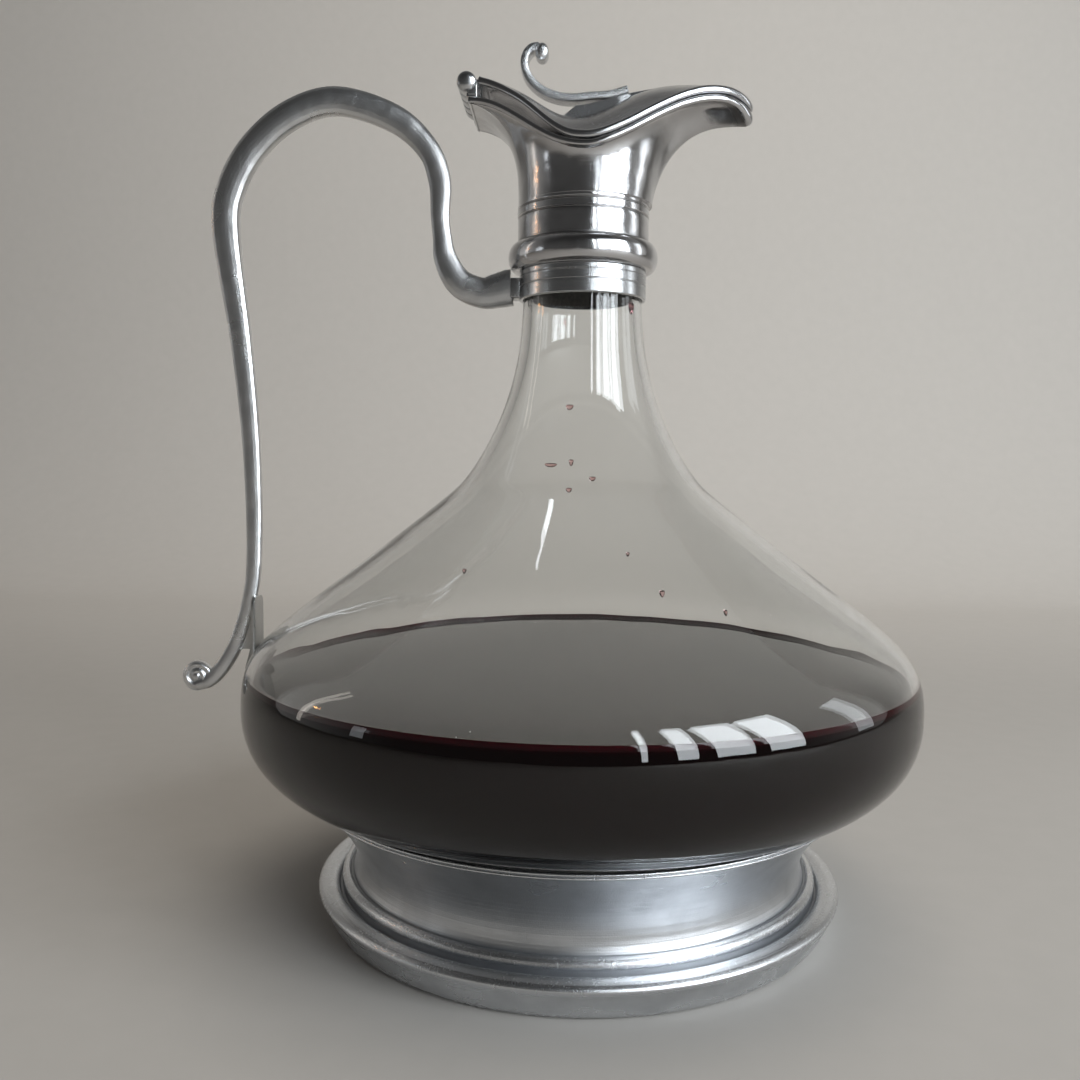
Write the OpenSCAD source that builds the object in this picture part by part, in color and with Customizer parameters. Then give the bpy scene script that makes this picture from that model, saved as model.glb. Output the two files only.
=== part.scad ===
// Claret jug. A squat glass decanter sits in a cast metal foot. A metal mouth with a
// pouring lip is cemented on its neck, with a hinged lid, a scroll thumbpiece and a tall
// loop handle that bears on the side of the bowl.
// Millimetres. The origin is the centre of the foot's underside, the lip points to +X
// and the lid hinge lies along Y.

/* [Glass] */
// Largest outside radius of the bowl
bowl_r = 95; // [92:0.5:97]
// Height of the widest part of the bowl
bowl_z = 61; // [59:0.5:64]
// Radius of the flat underside of the glass
glass_base_r = 38; // [34:1:44]
// Height of the underside of the glass
glass_base_z = 32; // [31:0.5:33]
// Thickness of the glass wall
glass_wall = 2.6; // [2:0.1:3.2]
// Thickness of the glass at its base
glass_base_t = 5; // [4:0.5:6]
// Radius at which the shoulder turns into the neck
shoulder_r = 35.6; // [33:0.2:38]
// Height at which the shoulder turns into the neck
shoulder_z = 120; // [116:1:124]
// Slope of the shoulder, measured from upright
shoulder_slope = 51; // [49:0.5:53]
// Outside radius of the straight neck
neck_r = 16.7; // [15.5:0.1:17.5]
// Height at which the neck becomes straight
neck_z = 172; // [168:1:173]
// Height of the upper rim of the glass, inside the mouth
glass_top_z = 193; // [190:0.5:196]

/* [Foot] */
// Radius of the foot at its rolled rim
foot_r = 74.6; // [72:0.2:77]
// Width of the rolled rim, up to the outer groove
roll_w = 6.6; // [6:0.1:7]
// Height of the rolled rim
roll_h = 10.6; // [10:0.1:11]
// Width of the step between the two grooves
step_w = 3.1; // [2.8:0.1:3.4]
// Height of the inner groove
step_z = 12.2; // [11.8:0.1:12.8]
// Smallest radius of the hollow-curved wall
waist_r = 63; // [62:0.2:64]
// Radius of the bezel, close under the glass
bezel_r = 75.3; // [74:0.1:76.5]
// Diameter of each of the two beads of the bezel
bezel_bead = 0.8; // [0.6:0.05:0.9]
// Wall thickness of the foot
foot_wall = 2.3; // [1.8:0.1:2.6]
// Radius of the hole in the foot's seat
seat_hole_r = 32; // [20:1:36]
// Thickness of the bedding cement between the foot and the glass
bed_t = 0.4; // [0.3:0.05:0.5]

/* [Neck band and mouth collar] */
// Height of the lower edge of the neck band
band_z = 173.4; // [173:0.1:175]
// Height of the neck band
band_h = 8; // [6:0.1:9]
// Wall thickness of the neck band
band_t = 0.9; // [0.7:0.05:1.4]
// Thickness of the cement around the glass neck
neck_bed = 0.3; // [0.2:0.05:0.5]
// Radius of the round moulding at the foot of the collar
moulding_r = 21.1; // [20:0.1:22]
// Height of the round moulding
moulding_h = 7.4; // [6:0.1:8]
// Outside radius of the collar's plain wall
collar_r = 18.45; // [18.2:0.05:19.2]
// Height of the whole collar
collar_h = 18.2; // [17:0.1:19]
// Width of the turned band near the top of the collar
groove_gap = 2.5; // [2:0.1:3.2]
// Depth of the turned grooves
groove_d = 0.35; // [0.2:0.05:0.5]

/* [Mouth] */
// Distance from the neck's axis to the end of the pouring lip
lip_x = 47; // [44:0.2:50]
// Distance from the neck's axis to the back of the mouth
tail_x = 31.5; // [30:0.1:33]
// Width of the back of the mouth, along the hinge
tail_w = 24.4; // [23.6:0.2:26]
// Largest width of the mouth
mouth_w = 43.2; // [41:0.2:45]
// Height of the rim at its back end
tail_z = 226.4; // [225.8:0.1:226.6]
// Height of the rim at its lowest, over the neck
dip_z = 212.2; // [210:0.2:214]
// Height of the rim at the crest of the lip
lip_z = 227.4; // [226:0.1:228]
// Distance from the neck's axis to the crest of the lip
crest_x = 39.5; // [37:0.5:41]
// Fall of the rim from the crest to the end of the lip
lip_fall = 2.2; // [1:0.1:2.6]
// Wall thickness of the mouth
mouth_wall = 1.6; // [1.3:0.1:1.9]
// Height of the rounded edge along the rim
rim_edge = 1.9; // [1.5:0.1:2.2]
// Extra height of that edge at the end of the lip
drip_h = 1.5; // [0.5:0.1:2]

/* [Lid] */
// Clearance between the closed lid and the rim
lid_gap = 0.35; // [0.3:0.05:0.6]
// Height by which the lid stands clear of the rim at its back end
lid_lift = 3.1; // [2.9:0.1:3.4]
// Height of the rounded edge of the lid
lid_edge = 2.1; // [1.8:0.1:2.5]
// Thickness of the lid
lid_wall = 1.4; // [1.1:0.1:1.7]
// Rise of the lid's dome over the middle of the mouth
dome_h = 10.2; // [8:0.2:11]
// Rise of the dome at the back of the lid
dome_back_h = 2.4; // [1.4:0.1:2.8]
// Rise of the dome at the lip
dome_lip_h = 1.2; // [0.8:0.1:2]

/* [Hinge] */
// Distance from the neck's axis to the hinge pin
hinge_x = 32; // [31.8:0.1:32.4]
// Height of the hinge pin
hinge_z = 230.4; // [230.2:0.1:230.8]
// Outside radius of the hinge knuckles
knuckle_r = 2.7; // [2.5:0.05:2.8]
// Length of the hinge barrel
barrel_l = 24.4; // [23.6:0.2:25.4]
// Radius of the hinge pin
pin_r = 1.05; // [0.9:0.05:1.2]
// Radial clearance of the pin in the lid's knuckles
pin_clear = 0.05; // [0.02:0.01:0.1]
// Gap between neighbouring knuckles
knuckle_gap = 0.3; // [0.2:0.05:0.4]
// Radius of the domed pin heads
pin_head_r = 2.55; // [2:0.05:2.6]
// Height of the domed pin heads
pin_head_h = 1.1; // [0.8:0.1:1.4]

/* [Thumbpiece] */
// Thickness of the scroll
scroll_t = 2.2; // [1.8:0.1:2.5]
// Width of the scroll
scroll_w = 5.4; // [4:0.2:7]
// Distance from the hinge pin to the back of the scroll
scroll_back = 14.1; // [13.4:0.1:15]
// Height of the scroll's top above the hinge pin
scroll_top = 14.1; // [13:0.1:15]
// Width of the saddle strap under the scroll
strap_w = 5; // [4:0.2:6]
// Thickness of the saddle strap at its thick end
strap_t = 3.7; // [3:0.1:4]

/* [Handle] */
// Distance from the neck's axis to the outside of the loop
loop_x = 106.4; // [103:0.2:110]
// Height of the top of the loop
loop_z = 233.3; // [228:0.5:238]
// Thickness of the handle at the loop
handle_t = 8; // [7:0.1:9]
// Thickness of the handle at its lower end
handle_low_t = 4.1; // [3.6:0.1:5]
// Width of the handle compared with its thickness
handle_aspect = 0.66; // [0.6:0.02:0.9]
// Radius of the volute at the handle's tail
volute_r = 4.4; // [3.6:0.1:5]
// Thickness of the tab that joins the handle to the neck band
tab_t = 2.6; // [2:0.1:3.2]
// Width of the tab
tab_w = 7; // [6:0.2:9]

/* [Rest] */
// Width of the rest leaf that bears on the bowl
rest_w = 9.2; // [7:0.2:10]
// Thickness of the leaf's upper part
rest_t = 1.2; // [1:0.1:1.6]
// Height of the top of the rest leaf
rest_top_z = 88; // [86:0.2:90]
// Height of the foot of the rest leaf
rest_low_z = 58.5; // [57:0.5:60]
// Thickness of the pad between the rest leaf and the glass
rest_pad_t = 0.4; // [0.3:0.05:0.6]

/* [Hidden] */
$fn = 96;

pewter = "#8d9093";
clear_glass = "#dfe8e6";
cement = "#cfc8b8";

// ---- curves ----

// A cubic Bezier curve through p[0] and p[3], as n + 1 points
function bezier(p, n) = [for (i = [0:n]) let (t = i / n, s = 1 - t)
    s * s * s * p[0] + 3 * s * s * t * p[1] + 3 * s * t * t * p[2] + t * t * t * p[3]];

// An arc of an ellipse from angle a0 to angle a1, as n + 1 points
function arc(centre, rx, rz, a0, a1, n) = [for (i = [0:n]) let (a = a0 + (a1 - a0) * i / n)
    centre + [rx * cos(a), rz * sin(a)]];

// A list without its first item
function rest_of(list) = [for (i = [1:len(list) - 1]) list[i]];

function reversed(list) = [for (i = [len(list) - 1:-1:0]) list[i]];

function unit(v) = v / norm(v);

// The left-hand normal of a 2D polyline at point i
function normal_at(p, i) = let (
    d = unit(p[min(i + 1, len(p) - 1)] - p[max(i - 1, 0)])) [-d.y, d.x];

// A 2D polyline moved by d to its left
function shifted(p, d) = [for (i = [0:len(p) - 1]) p[i] + d * normal_at(p, i)];

// A smooth step from 0 to 1
function ease(u) = let (c = min(max(u, 0), 1)) (1 - cos(180 * c)) / 2;

function mix(a, b, u) = a + (b - a) * u;

// A Catmull-Rom spline through the points k, n steps to a span
function spline(k, n) = let (last = len(k) - 1) concat(
    [for (i = [0:last - 1], j = [0:n - 1]) let (
        t = j / n,
        a = i == 0 ? 2 * k[0] - k[1] : k[i - 1],
        b = k[i],
        c = k[i + 1],
        d = i == last - 1 ? 2 * k[last] - k[last - 1] : k[i + 2])
        b + t * (c - a) / 2 + t * t * (a - 2.5 * b + 2 * c - d / 2)
        + t * t * t * (1.5 * (b - c) + (d - a) / 2)],
    [k[last]]);

// Faces of a closed band: rows of equal closed rings, joined each to the next
function band_faces(rows, cols, wrap) = [for (r = [0:rows - (wrap ? 1 : 2)], c = [0:cols - 1])
    let (r2 = (r + 1) % rows, c2 = (c + 1) % cols, a = r * cols + c, b = r * cols + c2,
        d = r2 * cols + c, e = r2 * cols + c2)
    each [[a, b, e], [a, e, d]]];

// ---- glass ----

shoulder_dir = [-sin(shoulder_slope), cos(shoulder_slope)];
bowl_low = bezier([[glass_base_r, glass_base_z], [mix(glass_base_r, bowl_r, 0.69), glass_base_z],
    [bowl_r, bowl_z - 18.6], [bowl_r, bowl_z]], 18);
bowl_high = let (turn = [shoulder_r, shoulder_z], reach = norm(turn - [bowl_r, bowl_z]))
    bezier([[bowl_r, bowl_z], [bowl_r, bowl_z + 19], turn - 0.818 * reach * shoulder_dir, turn], 18);
neck_curve = let (turn = [shoulder_r, shoulder_z])
    bezier([turn, turn + 2.3 * shoulder_dir, [neck_r, neck_z - 31], [neck_r, neck_z]], 12);
glass_curve = concat(bowl_low, rest_of(bowl_high), rest_of(neck_curve), [[neck_r, glass_top_z]]);
punt_h = 1.6;

// Height of the glass's underside at the radius r
function glass_z_at(r) = lookup(r, bowl_low);

module glass_body() {
    inner = reversed(shifted(glass_curve, glass_wall));
    color(clear_glass, 0.35) rotate_extrude() polygon(concat(
        [[0, glass_base_z + punt_h]], glass_curve, inner,
        [[0, glass_base_z + glass_base_t]]));
}

// ---- foot ----

groove2_r = foot_r - roll_w;
groove1_r = groove2_r - step_w;
foot_base_r = foot_r - 5.3;
bezel_top_z = glass_z_at(bezel_r) - 1.2 * bed_t;
bezel_z = bezel_top_z - 2 * bezel_bead;
seat_top = [for (p = shifted(bowl_low, -bed_t)) if (p.x < bezel_r - 0.4) p];
seat_under = [for (p = shifted(bowl_low, -bed_t - foot_wall)) if (p.x < waist_r - 4) p];
wall_curve = bezier([[groove1_r - 0.2, step_z + 0.6], [waist_r - 1.2, step_z + 8],
    [waist_r + 5, bezel_z - 7], [bezel_r - 0.8, bezel_z - 0.2]], 14);
wall_inner = [for (p = shifted(wall_curve, foot_wall))
    if (p.y < seat_under[len(seat_under) - 1].y - 1.2) p];

module foot() {
    flare = bezier([[foot_base_r, 0], [foot_r - 3, 0.5], [foot_r - 1.9, 5.2], [foot_r, 8.2]], 7);
    roll = bezier([[foot_r, 8.2], [foot_r + 0.4, roll_h - 0.6], [foot_r - 3.5, roll_h + 0.9],
        [groove2_r + 0.9, roll_h - 1.3]], 8);
    step = arc([groove2_r - 1.7, step_z - 1.1], 1.6, 1.8, -25, 96, 6);
    // The bezel's beads, one over the other
    function bead(z) = arc([bezel_r - 0.1, z + bezel_bead / 2], 0.5, bezel_bead / 2, -80, 80, 6);
    color(pewter) rotate_extrude() polygon(concat(
        [[foot_base_r - 3.6, 0]], flare, rest_of(roll), [[groove2_r, roll_h - 2.2]], step,
        [[groove1_r + 0.4, step_z + 0.1], [groove1_r, step_z]], wall_curve,
        bead(bezel_z), bead(bezel_z + bezel_bead), reversed(seat_top),
        [[seat_hole_r, glass_base_z - bed_t], [seat_hole_r, glass_base_z - bed_t - foot_wall]],
        [for (p = seat_under) if (p.x > seat_hole_r + 1) p], reversed(wall_inner),
        [[groove1_r - 1.4 * foot_wall, step_z - foot_wall],
        [foot_base_r - 1.6 * foot_wall, 1.5 * foot_wall]]));
}

module foot_bedding() {
    top = [for (i = [0:len(seat_top) - 2]) bowl_low[i]];
    under = [for (i = [0:len(seat_top) - 2]) seat_top[i]];
    color(cement) rotate_extrude() polygon(concat(under, reversed(top)));
}

// ---- neck band, cement and collar ----

bed_r = neck_r + neck_bed;
band_r = bed_r + band_t;
collar_z = band_z + band_h;
collar_top_z = collar_z + collar_h;

module tube(outer, inner, height) {
    difference() {
        cylinder(r = outer, h = height);
        translate([0, 0, -1]) cylinder(r = inner, h = height + 2);
    }
}

module neck_bedding() {
    color(cement) translate([0, 0, band_z + 0.8])
        tube(bed_r, neck_r, glass_top_z - band_z - 1.6);
}

module neck_band() {
    line_d = 0.12;
    color(pewter) translate([0, 0, band_z]) rotate_extrude() polygon([
        [bed_r, 0], [band_r - 0.2, 0], [band_r, 0.25], [band_r, 0.45 * band_h],
        [band_r - line_d, 0.47 * band_h], [band_r - line_d, 0.5 * band_h],
        [band_r - 0.05, 0.52 * band_h], [band_r - 0.05, band_h - 0.2],
        [band_r - 0.25, band_h], [bed_r, band_h]]);
}

module mouth_collar() {
    moulding = arc([moulding_r - 2.1, moulding_h / 2], 2.1, moulding_h / 2, -85, 80, 12);
    g1 = collar_h - 1.2;
    g2 = g1 - groove_gap;
    lip_in = 1.2;
    color(pewter) translate([0, 0, collar_z]) rotate_extrude() polygon(concat(
        [[bed_r, 0]], moulding,
        [[collar_r + 0.15, moulding_h + 0.1], [collar_r, moulding_h + 0.6],
        [collar_r, g2 - 0.35], [collar_r - groove_d, g2 - 0.1], [collar_r - groove_d, g2 + 0.1],
        [collar_r, g2 + 0.35], [collar_r, g1 - 0.35], [collar_r - groove_d, g1 - 0.1],
        [collar_r - groove_d, g1 + 0.1], [collar_r, g1 + 0.35], [collar_r, collar_h],
        [bed_r - lip_in, collar_h], [bed_r - lip_in, glass_top_z - collar_z + 0.3],
        [bed_r, glass_top_z - collar_z + 0.3]]));
}

// ---- mouth ----

// Half of the rim seen from above, from the middle of its back to the end of the lip. The
// back is straight, and back is the distance of that straight end from the neck's axis.
function outline_half(back) = let (
    half_tail = tail_w / 2,
    widest = [1, mouth_w / 2],
    side = bezier([[-back, half_tail], [-back + 9.5, half_tail + 1.4],
        [-10, mouth_w / 2], widest], 9),
    lip = bezier([widest, [16, mouth_w / 2], [lip_x, 8.4], [lip_x, 0]], 13))
    concat([for (i = [0:3]) [-back, half_tail * i / 4]], side, rest_of(lip));

// The whole rim, anticlockwise seen from below, mirrored about the XZ plane
function outline(back) = let (half = outline_half(back), last = len(half) - 1)
    concat(half, [for (i = [last - 1:-1:1]) [half[i].x, -half[i].y]]);

// Height of the rim above the table at a distance x from the neck's axis
function rim_z(x) = x < 1
    ? mix(dip_z, tail_z, pow(ease((1 - x) / (1 + tail_x)), 1.15))
    : x < crest_x
        ? mix(dip_z, lip_z, pow(ease((x - 1) / (crest_x - 1)), 0.8))
        : lip_z - lip_fall * pow((x - crest_x) / (lip_x - crest_x), 2);

// Inward normals of a closed ring that runs clockwise seen from above
function inward(ring, i) = let (n = len(ring),
    d = unit(ring[(i + 1) % n] - ring[(i + n - 1) % n])) [d.y, -d.x];

mouth_base_r = collar_r + 0.4;
mouth_base_x = 0.5;
mouth_bore_r = bed_r - 0.7;

module mouth_body() {
    ring = outline(tail_x);
    n = len(ring);
    // Depth of the rim's edge, which grows to a drip edge at the end of the lip
    function edge_h(x) = rim_edge + drip_h * ease((x - crest_x) / (lip_x - crest_x));
    // How far the lower half of the edge is rounded off, which is most at the end of the lip
    function lower_inset(x, inset, drop) =
        inset * (drop > 0.5 ? mix(1, 2.6, ease((x - crest_x) / (lip_x - crest_x))) : 1);
    // A wall line leaves the collar upright and turns out to the rim, in a full curve under
    // the lip and a tighter one at the back
    function wall_row(a, base_r, inset, drop) = [for (i = [0:n - 1]) let (
        edge = ring[i] + lower_inset(ring[i].x, inset, drop) * inward(ring, i),
        top = rim_z(ring[i].x) - drop * edge_h(ring[i].x),
        dir = atan2(ring[i].y, ring[i].x),
        w = (1 + cos(dir)) / 2,
        foot = base_r * [cos(dir), sin(dir)] + [mouth_base_x, 0],
        xy = mix(edge, foot, pow(cos(a), mix(1.25, 0.667, w))))
        [xy.x, xy.y, mix(collar_top_z, top, pow(sin(a), mix(0.667, 1.333, w)))]];
    function rim_row(inset, drop) = [for (i = [0:n - 1])
        let (edge = ring[i] + lower_inset(ring[i].x, inset, drop) * inward(ring, i))
        [edge.x, edge.y, rim_z(ring[i].x) - drop * edge_h(ring[i].x)]];
    rows = concat(
        [for (a = [0, 12, 24, 36, 47, 57, 66, 74, 81, 86.5, 90]) wall_row(a, mouth_base_r, 0.7, 1)],
        [rim_row(0.2, 0.75), rim_row(0, 0.45), rim_row(0.15, 0.15), rim_row(0.45, 0)],
        [for (a = [90, 85, 77, 65, 50, 30, 0]) wall_row(a, mouth_bore_r, mouth_wall, 0)]);
    color(pewter) polyhedron([for (row = rows) each row], band_faces(len(rows), n, true));
}

// ---- hinge ----

knuckle_l = (barrel_l - 4 * knuckle_gap) / 5;
knuckle_pitch = knuckle_l + knuckle_gap;
leaf_z = hinge_z - 1.5;
lid_back_x = hinge_x - knuckle_r - 0.5;

// Places its children at the middle of knuckle k, where 0 is the middle one
module at_knuckle(k) {
    translate([-hinge_x, k * knuckle_pitch, hinge_z]) children();
}

module knuckle_rod(radius, length) {
    rotate([90, 0, 0]) cylinder(r = radius, h = length, center = true);
}

module mouth_knuckles() {
    leaf_in = 2.9;
    color(pewter) difference() {
        union() {
            for (k = [-2, 0, 2]) at_knuckle(k) knuckle_rod(knuckle_r, knuckle_l);
            translate([-hinge_x, -tail_w / 2, tail_z])
                cube([leaf_in, tail_w, leaf_z - tail_z]);
            for (k = [-2, 0, 2]) translate([-hinge_x, k * knuckle_pitch - knuckle_l / 2, leaf_z - 0.1])
                cube([leaf_in, knuckle_l, hinge_z - leaf_z - 0.5]);
        }
        for (k = [-1, 1]) at_knuckle(k) knuckle_rod(knuckle_r + 0.35, knuckle_l + 2 * knuckle_gap);
        translate([-hinge_x, 0, hinge_z]) knuckle_rod(pin_r, barrel_l + 2);
    }
}

module hinge_pin() {
    head = arc([0, 0], pin_head_r, pin_head_h, 0, 90, 8);
    color(pewter) translate([-hinge_x, 0, hinge_z]) {
        knuckle_rod(pin_r, barrel_l);
        for (side = [-1, 1]) translate([0, side * barrel_l / 2, 0]) rotate([-90 * side, 0, 0])
            rotate_extrude() polygon(concat([[0, 0]], head));
    }
}

// ---- lid ----

// Rise of the lid's dome along its middle
function dome_at(x) = x < 11
    ? mix(dome_back_h, dome_h, pow(ease((x + lid_back_x) / (11 + lid_back_x)), 0.8))
    : mix(dome_lip_h, dome_h, pow(ease((lip_x - x) / (lip_x - 11)), 1.45));

// Height of the lid's lower edge
function lid_low_z(x) = rim_z(x) + lid_gap + lid_lift * ease((-2 - x) / 17);

// Height of the lid's top at the middle, over the spine
function lid_crest_z(x) = lid_low_z(x) + lid_edge + dome_at(x);

spine_back = lid_back_x - 2.6;
spine_front = lip_x - 8;

// Where on the spine the dome's line from the edge point p ends
function spine_x(p) = mix(-spine_back, spine_front, (p.x + lid_back_x) / (lip_x + lid_back_x))
    + 0.12 * abs(p.y) * ease(-p.x / 25);

module lid() {
    ring = outline(lid_back_x);
    n = len(ring);
    half = n / 2;
    // One ring of the dome, at the share v of the way from the spine to the edge
    function dome_row(v, thick) = [for (i = [0:n - 1]) let (
        p = ring[i],
        q = mix([spine_x(p), 0], p + 0.75 * inward(ring, i), v),
        z = lid_low_z(q.x) + lid_edge + dome_at(q.x) * (1 - v * v) - thick)
        [q.x, q.y, max(z, lid_low_z(q.x))]];
    function edge_row(inset, rise) = [for (i = [0:n - 1]) let (q = ring[i] + inset * inward(ring, i))
        [q.x, q.y, lid_low_z(ring[i].x) + rise]];
    under = [for (v = [0.15, 0.35, 0.6, 0.84]) dome_row(v, lid_wall + 0.25)];
    edge = [edge_row(1.7, 0), edge_row(0.35, 0), edge_row(0, 0.3 * lid_edge),
        edge_row(0, 0.6 * lid_edge), edge_row(0.25, 0.86 * lid_edge)];
    top = [for (v = [1, 0.93, 0.82, 0.65, 0.45, 0.28, 0.15]) dome_row(v, 0)];
    rows = concat(under, edge, top);
    // Strips across the spine close the underside, and turned over they close the top
    cap = [for (h = [0:half - 1]) let (a = h, b = h + 1, c = (n - h - 1) % n, d = (n - h) % n)
        each h == 0 ? [[a, c, b]] : h == half - 1 ? [[a, d, b]] : [[a, c, b], [a, d, c]]];
    last = (len(rows) - 1) * n;
    color(pewter) polyhedron([for (row = rows) each row], concat(band_faces(len(rows), n, false),
        cap, [for (f = cap) [last + f[0], last + f[2], last + f[1]]]));
}

module lid_knuckles() {
    leaf_h = 2.2;
    color(pewter) difference() {
        union() {
            for (k = [-1, 1]) at_knuckle(k) knuckle_rod(knuckle_r, knuckle_l);
            for (k = [-1, 1]) translate([-hinge_x, k * knuckle_pitch - knuckle_l / 2, hinge_z])
                cube([hinge_x - lid_back_x, knuckle_l, leaf_h]);
        }
        translate([-hinge_x, 0, hinge_z]) knuckle_rod(pin_r + pin_clear, barrel_l + 2);
    }
}

// ---- thumbpiece ----

strap_x0 = -6.2;
strap_x1 = 25;

// Height of the strap's top at a distance x from the neck's axis
function strap_top_z(x) = lid_crest_z(x) + mix(strap_t, 0.45, ease(x / 20));

module strap_side() {
    xs = [for (i = [0:12]) mix(strap_x0 + 3.8, strap_x1, i / 12)];
    polygon(concat([[strap_x0, lid_crest_z(strap_x0) + 0.4]], [for (x = xs) [x, strap_top_z(x)]],
        [for (x = reversed(xs)) [x, lid_crest_z(x) - 1]], [[strap_x0, lid_crest_z(strap_x0) - 1]]));
}

module lid_strap() {
    color(pewter) difference() {
        intersection() {
            rotate([90, 0, 0]) linear_extrude(strap_w, center = true) strap_side();
            translate([0, 0, hinge_z - 2 * dome_h]) linear_extrude(4 * dome_h) polygon([
                [strap_x0, -strap_w / 2], [mix(strap_x0, strap_x1, 0.5), -strap_w / 2],
                [strap_x1, -0.8], [strap_x1, 0.8],
                [mix(strap_x0, strap_x1, 0.5), strap_w / 2], [strap_x0, strap_w / 2]]);
        }
        lid();
    }
}

// Middle line of the scroll from its right-hand end, over the strap, back and up to the curl
scroll_path = let (bx = -hinge_x + scroll_back, top = hinge_z + scroll_top) spline([
    [12, strap_top_z(12) + scroll_t / 2 - 0.1], [7, strap_top_z(7) + scroll_t / 2 - 0.1],
    [bx + 19.4, top - 14.8], [bx + 15.2, top - 15.2], [bx + 11.1, top - 14.9],
    [bx + 6.9, top - 13.5], [bx + 3.8, top - 11.3], [bx + 1.8, top - 8.7],
    [bx + 1, top - 5.7], [bx + 1.5, top - 3.3], [bx + 3, top - 1.6], [bx + 5.1, top - 1.2]], 4);

module thumbpiece() {
    // The ball that the scroll curls into, a little taller than it is wide
    ball = arc(scroll_path[len(scroll_path) - 1] + [0.8, -1.3], 1.85, 2.4, 98, -172, 18);
    inner = shifted(scroll_path, -scroll_t / 2);
    color(pewter) rotate([90, 0, 0]) linear_extrude(scroll_w, center = true) difference() {
        polygon(concat(shifted(scroll_path, scroll_t / 2), ball,
            [for (i = [len(inner) - 4:-1:0]) inner[i]]));
        strap_side();
    }
}

// ---- handle ----

tab_face_x = band_r + tab_t;
rest_face_x = bowl_r + rest_pad_t;
tail_end = [-1.186 * bowl_r, bowl_z + 0.031 * bowl_r];

// Middle line of the handle as [x, z, thickness], from the tab, through the hook and over the
// loop, down to the rest and out to the volute. Its places are shares of the way from the tab to
// the loop's outside and top, then down to the bowl, and then shares of the bowl's radius.
handle_line = let (xt = -tab_face_x, zt = band_z + band_h / 2,
    xl = -loop_x + handle_t / 2, zl = loop_z - handle_t / 2) spline(concat(
    [for (p = [[0, -0.002, 1.287], [0.044, -0.018, 1.2], [0.1, -0.03, 1.075],
        [0.178, 0.024, 1], [0.226, 0.15, 0.835], [0.239, 0.272, 0.676], [0.246, 0.392, 0.676],
        [0.248, 0.575, 0.8], [0.291, 0.747, 0.82], [0.407, 0.907, 0.94], [0.604, 1, 0.98],
        [0.768, 0.927, 1], [0.899, 0.755, 1], [0.978, 0.541, 1], [1, 0.305, 0.976]])
        [mix(xt, xl, p[0]), mix(zt, zl, p[1]), p[2] * handle_t]],
    [for (p = [[0.52, 0.394, 1.5], [0.86, 0.553, 1.273]])
        [mix(xl, -bowl_r, p[0]), mix(zl, bowl_z, p[1]), p[2] * handle_low_t]],
    [for (p = [[1.002, 0.547, 1.136], [1.005, 0.379, 1.045], [1.017, 0.288, 1],
        [1.038, 0.207, 1], [1.069, 0.123, 1.045], [1.111, 0.056, 1.091], [1.15, 0.016, 1]])
        [-p[0] * bowl_r, bowl_z + p[1] * bowl_r, p[2] * handle_low_t]],
    [[tail_end.x, tail_end.y - volute_r + 1.7, 0.727 * handle_low_t]]), 3);

module handle_sweep() {
    line = [for (p = handle_line) [p.x, p.y]];
    sides = 12;
    // The section is a rectangle with flat faces and broad bevels, given by one corner as shares
    // of the half thickness and half width. The first one stands upright against the tab.
    corner = [[1, 0.34], [0.86, 0.76], [0.62, 1]];
    section = [for (q = [[1, 1], [-1, 1], [-1, -1], [1, -1]], k = [0:2])
        let (c = corner[q.x * q.y > 0 ? k : 2 - k]) [q.x * c.x, q.y * c.y] / 2];
    rings = [for (i = [0:len(line) - 1]) let (
        n = i == 0 ? [0, -1] : normal_at(line, i),
        t = handle_line[i][2],
        w = max(t, 1.3 * handle_low_t) * handle_aspect)
        for (q = section) [line[i].x + n.x * q.x * t, q.y * w, line[i].y + n.y * q.x * t]];
    count = len(line);
    first_cap = [for (j = [1:sides - 2]) [0, j + 1, j]];
    last_cap = [for (j = [1:sides - 2]) (count - 1) * sides * [1, 1, 1] + [0, j, j + 1]];
    polyhedron(rings, concat(band_faces(count, sides, false), first_cap, last_cap));
}

module handle() {
    color(pewter) {
        handle_sweep();
        translate([tail_end.x, 0, tail_end.y]) {
            knuckle_rod(volute_r, 0.65 * handle_low_t);
            knuckle_rod(0.38 * volute_r, 0.85 * handle_low_t);
        }
    }
}

module handle_tab() {
    color(pewter) difference() {
        translate([-tab_face_x, -tab_w / 2, band_z + 0.07 * band_h])
            cube([tab_face_x - band_r + 2, tab_w, 0.7 * band_h]);
        translate([0, 0, band_z - 1]) cylinder(r = band_r, h = band_h + 2);
    }
}

// ---- rest ----

// A solid of the bowl's outside, grown by d
module bowl_solid(d) {
    rotate_extrude() polygon(concat([[0, glass_base_z]],
        shifted([for (p = glass_curve) if (p.y < shoulder_z) p], -d), [[0, shoulder_z - 1]]));
}

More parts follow.
